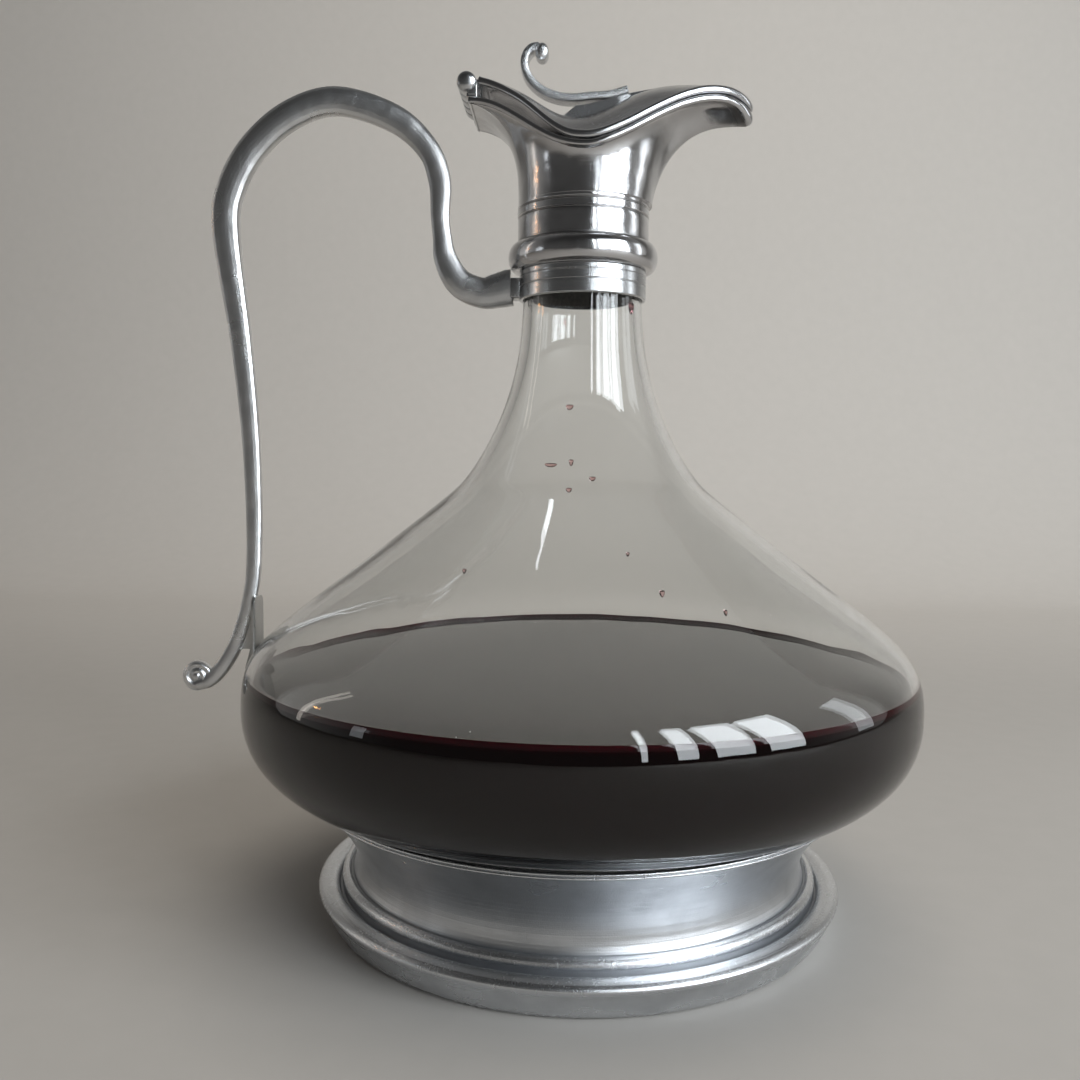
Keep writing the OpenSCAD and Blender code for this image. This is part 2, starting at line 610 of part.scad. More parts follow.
module handle_rest() {
    face = -0.99 * bowl_r;
    back = face - rest_t;
    low_back = -rest_face_x - 1.6 * rest_t;
    web_low_z = bowl_z + 11.6;
    round_r = 0.3 * rest_w;
    color(pewter) difference() {
        union() {
            // The leaf from the side: straight at the top and thicker along the bowl
            intersection() {
                rotate([90, 0, 0]) linear_extrude(rest_w, center = true) polygon([
                    [-bowl_r + 3, bowl_z + 12], [-bowl_r + 3, rest_low_z],
                    [low_back + 0.8, rest_low_z], [low_back, rest_low_z + 1.2],
                    [low_back, bowl_z + 6], [back - 0.3, web_low_z + 1], [back, rest_top_z - 8],
                    [back, rest_top_z], [face, rest_top_z], [face, bowl_z + 12]]);
                // and from the front, with round corners at its top
                translate([-bowl_r - 10, 0, 0]) rotate([90, 0, 90]) linear_extrude(20) union() {
                    translate([-rest_w / 2, 0]) square([rest_w, rest_top_z - round_r]);
                    for (y = [-1, 1]) translate([y * (rest_w / 2 - round_r), rest_top_z - round_r])
                        circle(r = round_r);
                    translate([round_r - rest_w / 2, 0]) square([rest_w - 2 * round_r, rest_top_z]);
                }
            }
            // The web to the handle
            rotate([90, 0, 0]) linear_extrude(0.3 * rest_w, center = true) polygon([
                [back + 0.3, rest_top_z - 0.4], [back + 0.3, web_low_z - 0.6],
                [back - 2.6, web_low_z + 1], [back - 4.6, web_low_z + 0.4],
                [back - 1, rest_top_z + 1]]);
        }
        bowl_solid(rest_pad_t);
        handle_sweep();
    }
}

module rest_pad() {
    band = [for (p = glass_curve) if (p.y > rest_low_z && p.y < bowl_z + 13) p];
    spread = 2 * asin(0.47 * rest_w / bowl_r);
    color(cement) rotate([0, 0, 180 - spread / 2]) rotate_extrude(angle = spread)
        polygon(concat(shifted(band, -rest_pad_t), reversed(band)));
}

foot();
foot_bedding();
glass_body();
neck_bedding();
neck_band();
mouth_collar();
mouth_body();
mouth_knuckles();
hinge_pin();
lid();
lid_knuckles();
lid_strap();
thumbpiece();
handle_tab();
handle();
handle_rest();
rest_pad();
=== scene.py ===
"""A claret jug: a squat glass decanter in a turned pewter foot, with a pewter mouth and lid."""

import bmesh
import bpy
import numpy as np
from mathutils import Matrix, Vector


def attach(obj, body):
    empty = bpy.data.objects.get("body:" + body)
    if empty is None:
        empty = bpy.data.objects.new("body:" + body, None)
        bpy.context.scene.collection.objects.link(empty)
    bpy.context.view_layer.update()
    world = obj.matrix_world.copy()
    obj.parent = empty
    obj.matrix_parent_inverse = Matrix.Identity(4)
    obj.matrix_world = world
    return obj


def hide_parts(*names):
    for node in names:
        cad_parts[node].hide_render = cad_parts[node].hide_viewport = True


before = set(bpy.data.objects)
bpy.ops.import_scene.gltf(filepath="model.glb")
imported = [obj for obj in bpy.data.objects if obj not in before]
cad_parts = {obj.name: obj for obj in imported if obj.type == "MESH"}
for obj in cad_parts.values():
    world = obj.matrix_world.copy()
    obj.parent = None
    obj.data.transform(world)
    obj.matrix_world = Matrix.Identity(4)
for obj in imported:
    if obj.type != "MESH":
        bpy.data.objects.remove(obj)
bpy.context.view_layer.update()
scene = bpy.context.scene

# ---------------------------------------------------------------- the table and the light
# The jug stands on a plain pale sheet that curves up behind it. Daylight comes from a row of
# tall window panes on the viewer's right, and the room is dark on the left behind the viewer.

view_from = (0, -0.3005, 0.1268)
view_down, view_turn, view_tilt = np.radians([4.1, -2.2, 0.45])
lens_mm, film_mm = 34.667, 36

level_right = Vector((np.cos(view_turn), -np.sin(view_turn), 0))
ahead = Vector((np.sin(view_turn) * np.cos(view_down), np.cos(view_turn) * np.cos(view_down),
                -np.sin(view_down)))
level_up = level_right.cross(ahead)
right = np.cos(view_tilt) * level_right + np.sin(view_tilt) * level_up
up = -np.sin(view_tilt) * level_right + np.cos(view_tilt) * level_up

camera = bpy.data.objects.new("camera", bpy.data.cameras.new("camera"))
camera.matrix_world = (Matrix.Translation(view_from)
                       @ Matrix((right, up, -ahead)).transposed().to_4x4())
camera.data.lens = lens_mm
camera.data.sensor_width = film_mm
camera.data.clip_start = 0.01
scene.collection.objects.link(camera)
scene.camera = camera
scene.view_settings.view_transform = "Standard"


def node(tree, kind, inputs=None, **settings):
    """A shader node. An input is a value, or another node's socket that it is wired to."""
    made = tree.nodes.new("ShaderNode" + kind)
    for name, value in settings.items():
        setattr(made, name, value)
    for name, value in (inputs or {}).items():
        if isinstance(value, bpy.types.NodeSocket):
            tree.links.new(value, made.inputs[name])
        else:
            made.inputs[name].default_value = value
    return made


def material(name):
    """A new material, its node tree and its surface shader."""
    made = bpy.data.materials.new(name)
    made.use_nodes = True
    return made, made.node_tree, made.node_tree.nodes["Principled BSDF"]


def surface(name, grid, wrap_rows=False, wrap_columns=True, relief=None, smooth_to=35):
    """A mesh from a grid of points in mm: every point joins the next in its row and in its column.
    A row gathered in one point closes a pole. relief is the height of each row's surface, from -1
    in a hollow to 1 on an edge, which the metal's finish follows. Rows under and inside a piece may
    also be set low, where the finish paints shade."""
    rows, columns = grid.shape[:2]
    at = np.arange(rows * columns).reshape(rows, columns)
    r = np.arange(rows if wrap_rows else rows - 1)[:, None]
    c = np.arange(columns if wrap_columns else columns - 1)[None, :]
    r2, c2 = (r + 1) % rows, (c + 1) % columns
    quads = np.stack([at[r, c], at[r, c2], at[r2, c2], at[r2, c]], -1).reshape(-1, 4)
    mesh = bpy.data.meshes.new(name)
    mesh.from_pydata(grid.reshape(-1, 3) / 1000, [], quads.tolist())
    if relief is not None:
        shade = np.broadcast_to(np.asarray(relief, float).reshape(rows, -1), (rows, columns))
        mesh.attributes.new("relief", "FLOAT", "POINT").data.foreach_set(
            "value", shade.astype(np.float32).ravel())
    shell = bmesh.new()
    shell.from_mesh(mesh)
    bmesh.ops.remove_doubles(shell, verts=shell.verts, dist=1e-7)
    bmesh.ops.recalc_face_normals(shell, faces=shell.faces)
    shell.to_mesh(mesh)
    shell.free()
    mesh.shade_smooth()
    mesh.set_sharp_from_angle(angle=np.radians(smooth_to))
    made = bpy.data.objects.new(name, mesh)
    scene.collection.objects.link(made)
    return made


sheet_half, sheet_front, sheet_bend_at, sheet_bend_r, sheet_top = 2500, -1500, 620, 380, 2200
bend = np.radians(np.linspace(0, 90, 25))
sheet_side = np.concatenate([
    [[sheet_front, 0]],
    np.stack([sheet_bend_at + sheet_bend_r * np.sin(bend),
              sheet_bend_r * (1 - np.cos(bend))], -1),
    [[sheet_bend_at + sheet_bend_r, sheet_top]]])
sheet_grid = np.stack([
    np.broadcast_to([[-sheet_half, sheet_half]], (len(sheet_side), 2)),
    np.repeat(sheet_side[:, :1], 2, 1), np.repeat(sheet_side[:, 1:], 2, 1)], -1)
table = surface("table", sheet_grid, wrap_columns=False)
if table.data.polygons[0].normal.z < 0:
    table.data.flip_normals()

paper, tree, shader = material("paper")
here = node(tree, "TexCoord").outputs["Object"]
flecks = node(tree, "TexNoise", {"Vector": here, "Scale": 90.0, "Detail": 6.0})
tint = node(tree, "Mix", {"Factor": flecks.outputs["Fac"], "A": (0.6, 0.575, 0.54, 1),
                          "B": (0.64, 0.61, 0.575, 1)}, data_type="RGBA")
# Painted shade: the sheet's colour is a little darker where the jug stands and in front of it than
# behind it.
shade_towards_front = node(tree, "MapRange", {"Value": node(tree, "SeparateXYZ", {"Vector": here}).outputs["Y"],
                               "From Min": 0.2, "From Max": 0.75, "To Min": 0.64, "To Max": 1.0},
            interpolation_type="SMOOTHSTEP")
seen = node(tree, "VectorMath", {0: tint.outputs["Result"], "Scale": shade_towards_front.outputs["Result"]},
            operation="SCALE")
tree.links.new(seen.outputs["Vector"], shader.inputs["Base Color"])
shader.inputs["Roughness"].default_value = 0.85
shader.inputs["Specular IOR Level"].default_value = 0.25
table.data.materials.append(paper)

# The room: a pale level behind the jug, dimmer overhead and dark behind the viewer.
room = bpy.data.worlds.new("room")
room.use_nodes = True
scene.world = room
tree = room.node_tree
toward = node(tree, "SeparateXYZ", {"Vector": node(tree, "TexCoord").outputs["Generated"]})
height = node(tree, "MapRange", {"Value": toward.outputs["Z"], "From Min": 0.05,
                                 "From Max": 0.75, "To Min": 1.0, "To Max": 0.4},
              interpolation_type="SMOOTHSTEP")
depth = node(tree, "MapRange", {"Value": toward.outputs["Y"], "From Min": -0.6,
                                "From Max": 0.4, "To Min": 0.07, "To Max": 0.5},
             interpolation_type="SMOOTHSTEP")
level = node(tree, "Math", {0: height.outputs["Result"], 1: depth.outputs["Result"]},
             operation="MULTIPLY")
tree.links.new(level.outputs["Value"], tree.nodes["Background"].inputs["Strength"])
tree.nodes["Background"].inputs["Color"].default_value = (1.0, 0.985, 0.96, 1)


def soft_box(name, bearing, distance, height, size, brightness, colour, mirrored=True):
    """A soft box turned to the middle of the jug. bearing is in degrees, 0 behind the viewer
    and 90 on the right. When it isn't mirrored it lights things, but it shows in no reflection
    and through no glass."""
    lamp = bpy.data.lights.new(name, "AREA")
    lamp.shape = "RECTANGLE"
    lamp.size, lamp.size_y = size
    lamp.energy = brightness * np.pi * size[0] * size[1]
    lamp.color = colour
    box = bpy.data.objects.new(name, lamp)
    place = Vector((distance * np.sin(np.radians(bearing)), -distance * np.cos(np.radians(bearing)),
                    height))
    box.location = place
    box.rotation_euler = (Vector((0, 0, 0.11)) - place).to_track_quat("-Z", "Y").to_euler()
    box.visible_camera = False
    box.visible_glossy = mirrored
    box.visible_transmission = mirrored
    scene.collection.objects.link(box)


daylight, lamplight = (0.9, 0.955, 1.0), (1.0, 0.93, 0.84)
for number, (bearing, wide) in enumerate(((19, 0.05), (32, 0.15), (46.5, 0.3), (64, 0.33))):
    soft_box(f"pane_{number}", bearing, 1.3, 0.56, (wide, 1.0), 9, daylight)
soft_box("side_pane", 96, 1.3, 0.45, (0.2, 0.8), 2.2, daylight)
soft_box("left_strip", -94, 1.1, 0.45, (0.04, 0.8), 2.4, lamplight)
soft_box("far_window", -68, 1.2, 0.2, (0.1, 0.22), 1.6, daylight)
soft_box("table_lamp", -91, 1.2, 0.42, (0.035, 0.02), 30, (1.0, 0.45, 0.15))
soft_box("ceiling_lamp", -131, 0.34, 1.4, (0.035, 0.035), 9, daylight)
soft_box("overhead", 60, 0.15, 1.35, (1.0, 0.8), 3.1, lamplight, mirrored=False)

# ---------------------------------------------------------------- the glass body
# A squat decanter body, blown in clear glass in a mould and turned by hand, so its wall waves
# a little. Its flat underside has a shallow kick-up, and its neck is straight.


def bezier(p0, p1, p2, p3, steps):
    """A cubic curve that leaves p0 towards p1 and reaches p3 from p2."""
    t = np.linspace(0, 1, steps + 1)[:, None]
    p0, p1, p2, p3 = (np.asarray(p, float) for p in (p0, p1, p2, p3))
    return (1 - t)**3 * p0 + 3 * (1 - t)**2 * t * p1 + 3 * (1 - t) * t**2 * p2 + t**3 * p3


def joined(*lines):
    """Lines laid end to end. A point that repeats the one before it is left out."""
    line = np.concatenate([np.atleast_2d(np.asarray(part, float)) for part in lines])
    keep = np.concatenate([[True], np.linalg.norm(np.diff(line, axis=0), axis=1) > 1e-6])
    return line[keep]


def shifted(line, distance):
    """A line moved to its left by a distance, square to its own direction."""
    along = np.gradient(line, axis=0)
    along /= np.linalg.norm(along, axis=1)[:, None]
    return line + distance * np.stack([-along[:, 1], along[:, 0]], -1)


def turned(profile, turns=240):
    """A profile of (radius, height) carried round the jug's axis."""
    a = np.linspace(0, 2 * np.pi, turns, endpoint=False)
    radius, height = profile[:, :1], profile[:, 1:]
    return np.stack([radius * np.cos(a), radius * np.sin(a), height + 0 * a], -1)


bowl_r, bowl_z = 95, 61
base_r, base_z, base_t, kick_up = 38, 32, 5, 1.6
glass_t = 2.6
neck_r, neck_z, glass_top_z, lip_h, softened_from_z = 16.7, 172, 193, 1.2, 92
turn_at = np.array([35.6, 120])
turn_way = np.array([-np.sin(np.radians(51)), np.cos(np.radians(51))])
reach = np.linalg.norm(turn_at - [bowl_r, bowl_z])

bowl_low = bezier((base_r, base_z), (base_r + 0.69 * (bowl_r - base_r), base_z),
                  (bowl_r, bowl_z - 18.6), (bowl_r, bowl_z), 60)
glass_out = joined(
    bowl_low,
    bezier((bowl_r, bowl_z), (bowl_r, bowl_z + 19), turn_at - 0.818 * reach * turn_way,
           turn_at, 70),
    bezier(turn_at, turn_at + 2.3 * turn_way, (neck_r, neck_z - 31), (neck_r, neck_z), 44),
    np.stack([np.full(9, neck_r), np.linspace(neck_z, glass_top_z - lip_h, 9)], -1))
# The blower's hand leaves no break where the shoulder turns into the neck.
above = glass_out[:, 1] > softened_from_z
for _ in range(24):
    softer = glass_out.copy()
    softer[1:-1] = (glass_out[:-2] + 2 * glass_out[1:-1] + glass_out[2:]) / 4
    glass_out[above] = softer[above]
glass_in = shifted(glass_out, glass_t)
lip_turn = np.radians(np.linspace(10, 170, 9))
glass_lip = np.stack([neck_r - glass_t / 2 + glass_t / 2 * np.cos(lip_turn),
                      glass_top_z - lip_h + lip_h * np.sin(lip_turn)], -1)
kick = np.linspace(0, 1, 9)[:, None] * [base_r - 0.3, 0] + [0, base_z]
kick[:, 1] += kick_up * np.cos(np.linspace(0, np.pi / 2, 9))**1.4
floor_in = np.stack([np.linspace(glass_in[0, 0] - 1, 0, 8), np.full(8, base_z + base_t)], -1)
glass = surface("glass_body_blown", turned(joined(kick, glass_out, glass_lip, glass_in[::-1],
                                                  floor_in)), smooth_to=60)

clear, tree, shader = material("clear_glass")
here = node(tree, "TexCoord").outputs["Object"]
waves = node(tree, "TexNoise", {"Vector": here, "Scale": 26.0, "Detail": 1.5})
specks = node(tree, "TexVoronoi", {"Vector": here, "Scale": 260.0})
dust = node(tree, "MapRange", {"Value": specks.outputs["Distance"], "From Min": 0.03,
                               "From Max": 0.08, "To Min": 1.0, "To Max": 0.0})
few = node(tree, "TexNoise", {"Vector": here, "Scale": 45.0, "Detail": 3.0})
where = node(tree, "MapRange", {"Value": few.outputs["Fac"], "From Min": 0.55, "From Max": 0.68})
spots = node(tree, "Math", {0: dust.outputs["Result"], 1: where.outputs["Result"]},
             operation="MULTIPLY")
film = node(tree, "MapRange", {"Value": spots.outputs["Value"], "To Min": 0.006, "To Max": 0.3})
tone = node(tree, "Mix", {"Factor": waves.outputs["Fac"], "A": (0.97, 0.985, 0.98, 1),
                          "B": (0.99, 0.99, 0.985, 1)}, data_type="RGBA")
ripple = node(tree, "Bump", {"Height": waves.outputs["Fac"], "Strength": 0.25,
                             "Distance": 0.0015})
for value, name in ((tone.outputs["Result"], "Base Color"), (film.outputs["Result"], "Roughness"),
                    (ripple.outputs["Normal"], "Normal")):
    tree.links.new(value, shader.inputs[name])
shader.inputs["IOR"].default_value = 1.5
shader.inputs["Specular IOR Level"].default_value = 0.4
shader.inputs["Transmission Weight"].default_value = 1.0
# Light passes the clear glass and reaches what stands inside it.
passing = node(tree, "Math", {0: node(tree, "LightPath").outputs["Is Shadow Ray"], 1: -0.88,
                              2: 1.0}, operation="MULTIPLY_ADD")
tree.links.new(passing.outputs["Value"], shader.inputs["Alpha"])
glass.data.materials.append(clear)
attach(glass, "jug")
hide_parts("glass_body")

# ---------------------------------------------------------------- the wine
# About three quarters of a litre of red wine, filled to just above the widest part of the bowl.
# It wets the glass, so its level climbs a little all round, and it is too deep to see through.

wine_z, climb_h, climb_w, wetting = 68.7, 1.1, 2.4, 0.05
wine_side = shifted(glass_out, glass_t - wetting)
wine_side = wine_side[(wine_side[:, 1] < wine_z + climb_h) & (wine_side[:, 1] > base_z + base_t)]
rim_r = np.interp(wine_z + climb_h, wine_side[-6:, 1], wine_side[-6:, 0]) - 0.35
climb = np.linspace(0, 1, 14)
wine_top = np.stack([rim_r - climb_w * climb, wine_z + climb_h * (1 - climb)**2.6], -1)
wine_flat = np.stack([np.linspace(wine_top[-1, 0], 0, 12)[1:], np.full(11, wine_z)], -1)
wine_floor = np.stack([np.linspace(0, wine_side[0, 0] - 1, 6),
                       np.full(6, base_z + base_t - wetting)], -1)
wine = surface("wine", turned(joined(wine_floor, wine_side, [[rim_r + 0.2, wine_z + climb_h]],
                                     wine_top, wine_flat), 192), smooth_to=50)


def wine_finish(name, gloss):
    """Red wine: nearly black in the deep. Within a few mm of the glass at its level it is painted
    ruby: painted light, as if light shone through the thin wine.
    """
    made, tree, shader = material(name)
    here = node(tree, "TexCoord").outputs["Object"]
    across = node(tree, "VectorMath", {0: here, 1: (1, 1, 0)}, operation="MULTIPLY")
    radius = node(tree, "VectorMath", {0: across.outputs["Vector"]}, operation="LENGTH")
    cloud = node(tree, "TexNoise", {"Vector": here, "Scale": 30.0, "Detail": 3.0})
    # Painted light: ruby where the wine is thin by the glass, just under its level, standing in for
    # light that shines through it.
    shallow = node(tree, "MapRange", {"Value": radius.outputs["Value"],
                                      "From Min": (bowl_r - 6.5) / 1000,
                                      "From Max": (bowl_r - 3) / 1000},
                   interpolation_type="SMOOTHSTEP")
    parts = node(tree, "SeparateXYZ", {"Vector": here})
    high = node(tree, "MapRange", {"Value": parts.outputs["Z"],
                                   "From Min": (wine_z - 0.9) / 1000,
                                   "From Max": (wine_z + climb_h) / 1000},
                interpolation_type="SMOOTHSTEP")
    thin = node(tree, "Math", {0: shallow.outputs["Result"], 1: high.outputs["Result"]},
                operation="MULTIPLY")
    uneven = node(tree, "MapRange", {"Value": cloud.outputs["Fac"], "To Min": 0.5, "To Max": 1.0})
    painted_shine_through = node(tree, "Math", {0: thin.outputs["Value"], 1: uneven.outputs["Result"]},
                operation="MULTIPLY")
    hue = node(tree, "Mix", {"Factor": painted_shine_through.outputs["Value"], "A": (0.0014, 0.0002, 0.0003, 1),
                             "B": (0.022, 0.0014, 0.0028, 1)}, data_type="RGBA")
    tree.links.new(hue.outputs["Result"], shader.inputs["Base Color"])
    shader.inputs["Roughness"].default_value = 0.03
    shader.inputs["IOR"].default_value = 1.34
    shader.inputs["Specular IOR Level"].default_value = gloss
    return made


wine.data.materials.append(wine_finish("wine_in_the_glass", 0.0))
wine.data.materials.append(wine_finish("wine_level", 0.5))
tops = [face.center.z > (wine_z - 0.4) / 1000 and face.normal.z > 0.25
        for face in wine.data.polygons]
wine.data.polygons.foreach_set("material_index", np.array(tops, dtype=np.int32))
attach(wine, "jug")

# ---------------------------------------------------------------- drops in the glass
# Splashes left on the inside of the glass when the wine was poured: flat drops, one to three mm
# wide, of watery pink, and one of full red high in the neck.

drop_list = ((-3.0, 142.2, 2.0, 1.5), (-7.6, 126.4, 3.2, 1.1), (-2.4, 127.2, 1.2, 1.8),
             (3.0, 122.9, 1.7, 1.2), (-2.9, 119.8, 1.5, 1.3), (19.0, 96.4, 1.3, 1.4),
             (-27.5, 100.1, 1.1, 1.1), (33.6, 92.0, 1.0, 1.2), (11.4, 104.7, 0.9, 1.0))
inside_order = np.argsort(glass_in[:, 1])


def drop_grid(x, z, wide, tall, thick=0.5):
    """A flat drop on the front of the inside wall: a lens on an ellipse about (x, z)."""
    v, a = np.linspace(0, 1, 9)[:, None], np.linspace(0, 2 * np.pi, 25)[None, :-1]
    px = x + wide / 2 * v * np.cos(a)
    pz = z + tall / 2 * v * (np.sin(a) + 0.22 * np.cos(2 * a))
    wall = np.interp(pz, glass_in[inside_order, 1], glass_in[inside_order, 0])
    out, back = [-np.sqrt(np.maximum((wall - t) ** 2 - px**2, 0.01))
                 for t in (-0.04, thick * (1 - v**2) + 0.01)]
    return np.concatenate([np.stack([px, out, pz], -1), np.stack([px, back, pz], -1)[::-1]])


def drop_finish(name, colour):
    """Wine and water: clear, its tint varying at random between the colour and a paler one."""
    made, tree, shader = material(name)
    cloud = node(tree, "TexNoise", {"Vector": node(tree, "TexCoord").outputs["Object"],
                                    "Scale": 700.0})
    pale = tuple(0.5 + 0.5 * c for c in colour[:3]) + (1,)
    hue = node(tree, "Mix", {"Factor": cloud.outputs["Fac"], "A": colour, "B": pale},
               data_type="RGBA")
    tree.links.new(hue.outputs["Result"], shader.inputs["Base Color"])
    shader.inputs["Roughness"].default_value = 0.02
    shader.inputs["IOR"].default_value = 1.34
    shader.inputs["Transmission Weight"].default_value = 1.0
    return made


pink = drop_finish("watery_wine", (0.8, 0.45, 0.44, 1))
ruby = drop_finish("ruby_wine", (0.32, 0.01, 0.03, 1))
for number, (x, z, wide, tall) in enumerate(drop_list):
    drop = surface(f"drop_{number}", drop_grid(x, z, wide, tall), smooth_to=60)
    drop.data.materials.append(pink)
    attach(drop, "jug")
high_drop = surface("drop_in_neck", drop_grid(12.3, 170.6, 1.3, 3.4, 0.8), smooth_to=60)
high_drop.data.materials.append(ruby)
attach(high_drop, "jug")

# ---------------------------------------------------------------- the foot
# Cast pewter, turned and then brushed on the lathe: a rolled rim, a small step, a hollow wall
# and a bezel of two beads that grips the glass. The glass is bedded in its dished seat.


def finish_group():
    """What every pewter piece shows: clouds of dull oxide, fine grain, fine scratches both ways
    across the piece, bright worn edges, and a dark tone where the relief is low: oxide in the
    hollows, and painted shade under and inside a piece."""
    group = bpy.data.node_groups.new("pewter_finish", "ShaderNodeTree")
    for name, kind in (("Clean", "Color"), ("Oxide_and_shade_tone", "Color"), ("Smooth", "Float"),
                       ("Rough", "Float"), ("Grain", "Float"), ("Turning", "Float")):
        group.interface.new_socket(name, in_out="INPUT", socket_type="NodeSocket" + kind)
    for name, kind in (("Colour", "Color"), ("Roughness", "Float"), ("Height", "Float")):
        group.interface.new_socket(name, in_out="OUTPUT", socket_type="NodeSocket" + kind)
    given = group.nodes.new("NodeGroupInput").outputs
    here = node(group, "TexCoord").outputs["Object"]
    relief = node(group, "Attribute", attribute_name="relief").outputs["Fac"]
    low_relief = node(group, "Math", {0: relief, 1: -1.0}, operation="MULTIPLY", use_clamp=True)
    edge = node(group, "Math", {0: relief, 1: 1.0}, operation="MULTIPLY", use_clamp=True)
    # Lines left by the lathe: noise along the radius and the height, the same all round.
    flat = node(group, "VectorMath", {0: here, 1: (1, 1, 0)}, operation="MULTIPLY")
    radius = node(group, "VectorMath", {0: flat.outputs["Vector"]}, operation="LENGTH")
    parts = node(group, "SeparateXYZ", {"Vector": here})
    ring = node(group, "CombineXYZ", {"X": radius.outputs["Value"], "Z": parts.outputs["Z"]})
    lines = node(group, "TexNoise", {"Vector": ring.outputs["Vector"], "Scale": 1500.0,
                                     "Detail": 4.0, "Roughness": 0.65})
    slow = node(group, "TexNoise", {"Vector": here, "Scale": 70.0, "Detail": 4.0})
    patch = node(group, "MapRange", {"Value": slow.outputs["Fac"], "From Min": 0.38,
                                     "From Max": 0.7})
    grain = node(group, "TexNoise", {"Vector": here, "Scale": 2600.0, "Detail": 3.0,
                                     "Roughness": 0.7})
    # Scratches: noise drawn out one way, then turned and drawn out the other way.
    marks = []
    for turn, seed in ((0.5, 0.0), (-0.9, 3.7)):
        drawn = node(group, "Mapping", {"Vector": here, "Location": (seed, 0, seed),
                                        "Rotation": (turn, turn, 0.4), "Scale": (1500, 1500, 70)})
        thread = node(group, "TexNoise", {"Vector": drawn.outputs["Vector"], "Scale": 1.0,
                                          "Detail": 2.0})
        marks.append(node(group, "MapRange", {"Value": thread.outputs["Fac"], "From Min": 0.66,
                                              "From Max": 0.74}).outputs["Result"])
    scratch = node(group, "Math", {0: marks[0], 1: marks[1]}, operation="MAXIMUM")
    sparse = node(group, "Math", {0: scratch.outputs["Value"], 1: patch.outputs["Result"]},
                  operation="MULTIPLY")
    dull = node(group, "Math", {0: patch.outputs["Result"], 1: 0.42}, operation="MULTIPLY")
    # Dark where the relief is low: oxide in the turned hollows, and painted shade where the rows
    # under the lid, inside the mouth and under its bead are set low.
    oxide_and_shade = node(group, "Math", {0: low_relief.outputs["Value"], 1: dull.outputs["Value"]},
                 operation="MAXIMUM")
    dark = node(group, "Math", {0: oxide_and_shade.outputs["Value"], 1: edge.outputs["Value"]},
                operation="SUBTRACT", use_clamp=True)
    hue = node(group, "Mix", {"Factor": dark.outputs["Value"], "A": given["Clean"],
                              "B": given["Oxide_and_shade_tone"]}, data_type="RGBA")
    mixed = node(group, "Mix", {"Factor": dark.outputs["Value"], "A": given["Smooth"],
                                "B": given["Rough"]})
    spread = node(group, "Math", {0: sparse.outputs["Value"], 1: 0.12, 2: mixed.outputs["Result"]},
                  operation="MULTIPLY_ADD", use_clamp=True)
    ringed = node(group, "Math", {0: lines.outputs["Fac"], 1: given["Turning"]},
                  operation="MULTIPLY")
    cast = node(group, "Math", {0: grain.outputs["Fac"], 1: given["Grain"],
                                2: ringed.outputs["Value"]}, operation="MULTIPLY_ADD")
    cut = node(group, "Math", {0: sparse.outputs["Value"], 1: -0.35, 2: cast.outputs["Value"]},
               operation="MULTIPLY_ADD")
    given_back = group.nodes.new("NodeGroupOutput").inputs
    for value, name in ((hue.outputs["Result"], "Colour"), (spread.outputs["Value"], "Roughness"),
                        (cut.outputs["Value"], "Height")):
        group.links.new(value, given_back[name])
    return group


pewter_finish = finish_group()


def pewter(name, clean, oxide_and_shade_colour, smooth, rough, grain, turning, depth=0.00003, uneven=0.0):
    """Pewter with its own tone and polish. uneven adds soft dents from the hammer. Its dark colour
    is the oxide, and the painted shade that the finish lays where the relief is low.
    """
    made, tree, shader = material(name)
    skin = tree.nodes.new("ShaderNodeGroup")
    skin.node_tree = pewter_finish
    for key, value in (("Clean", clean + (1,)), ("Oxide_and_shade_tone", oxide_and_shade_colour + (1,)), ("Smooth", smooth),
                       ("Rough", rough), ("Grain", grain), ("Turning", turning)):
        skin.inputs[key].default_value = value
    bump = node(tree, "Bump", {"Height": skin.outputs["Height"], "Strength": 0.6,
                               "Distance": depth})
    if uneven:
        dents = node(tree, "TexNoise", {"Vector": node(tree, "TexCoord").outputs["Object"],
                                        "Scale": 160.0, "Detail": 1.0})
        soft = node(tree, "Bump", {"Height": dents.outputs["Fac"], "Strength": uneven,
                                   "Distance": 0.0004})
        tree.links.new(soft.outputs["Normal"], bump.inputs["Normal"])
    for value, key in ((skin.outputs["Colour"], "Base Color"),
                       (skin.outputs["Roughness"], "Roughness"),
                       (bump.outputs["Normal"], "Normal")):
        tree.links.new(value, shader.inputs[key])
    shader.inputs["Metallic"].default_value = 1.0
    return made


def relief_of(profile, scale=0.9):
    """How far each point of a profile lies inside (-) or outside (+) its neighbours' line,
    in mm, over stretches of two lengths, as a share of scale."""
    total = np.zeros(len(profile))
    steps = np.linalg.norm(np.diff(profile, axis=0), axis=1)
    length = np.concatenate([[0], np.cumsum(steps)])
    along = np.gradient(profile, axis=0)
    along /= np.maximum(np.linalg.norm(along, axis=1), 1e-9)[:, None]
    outward = np.stack([along[:, 1], -along[:, 0]], -1)
    for stretch in (0.5, 1.6):
        ends = [np.stack([np.interp(length + s * stretch, length, profile[:, k])
                          for k in (0, 1)], -1) for s in (-1, 1)]
        total += np.einsum("ij,ij->i", profile - (ends[0] + ends[1]) / 2, outward) / stretch
    return np.clip(total / scale, -1, 1)


def arc(centre, rx, rz, start, end, steps):
    """Part of an ellipse about a centre, between two angles in degrees."""
    a = np.radians(np.linspace(start, end, steps + 1))
    return np.stack([centre[0] + rx * np.cos(a), centre[1] + rz * np.sin(a)], -1)


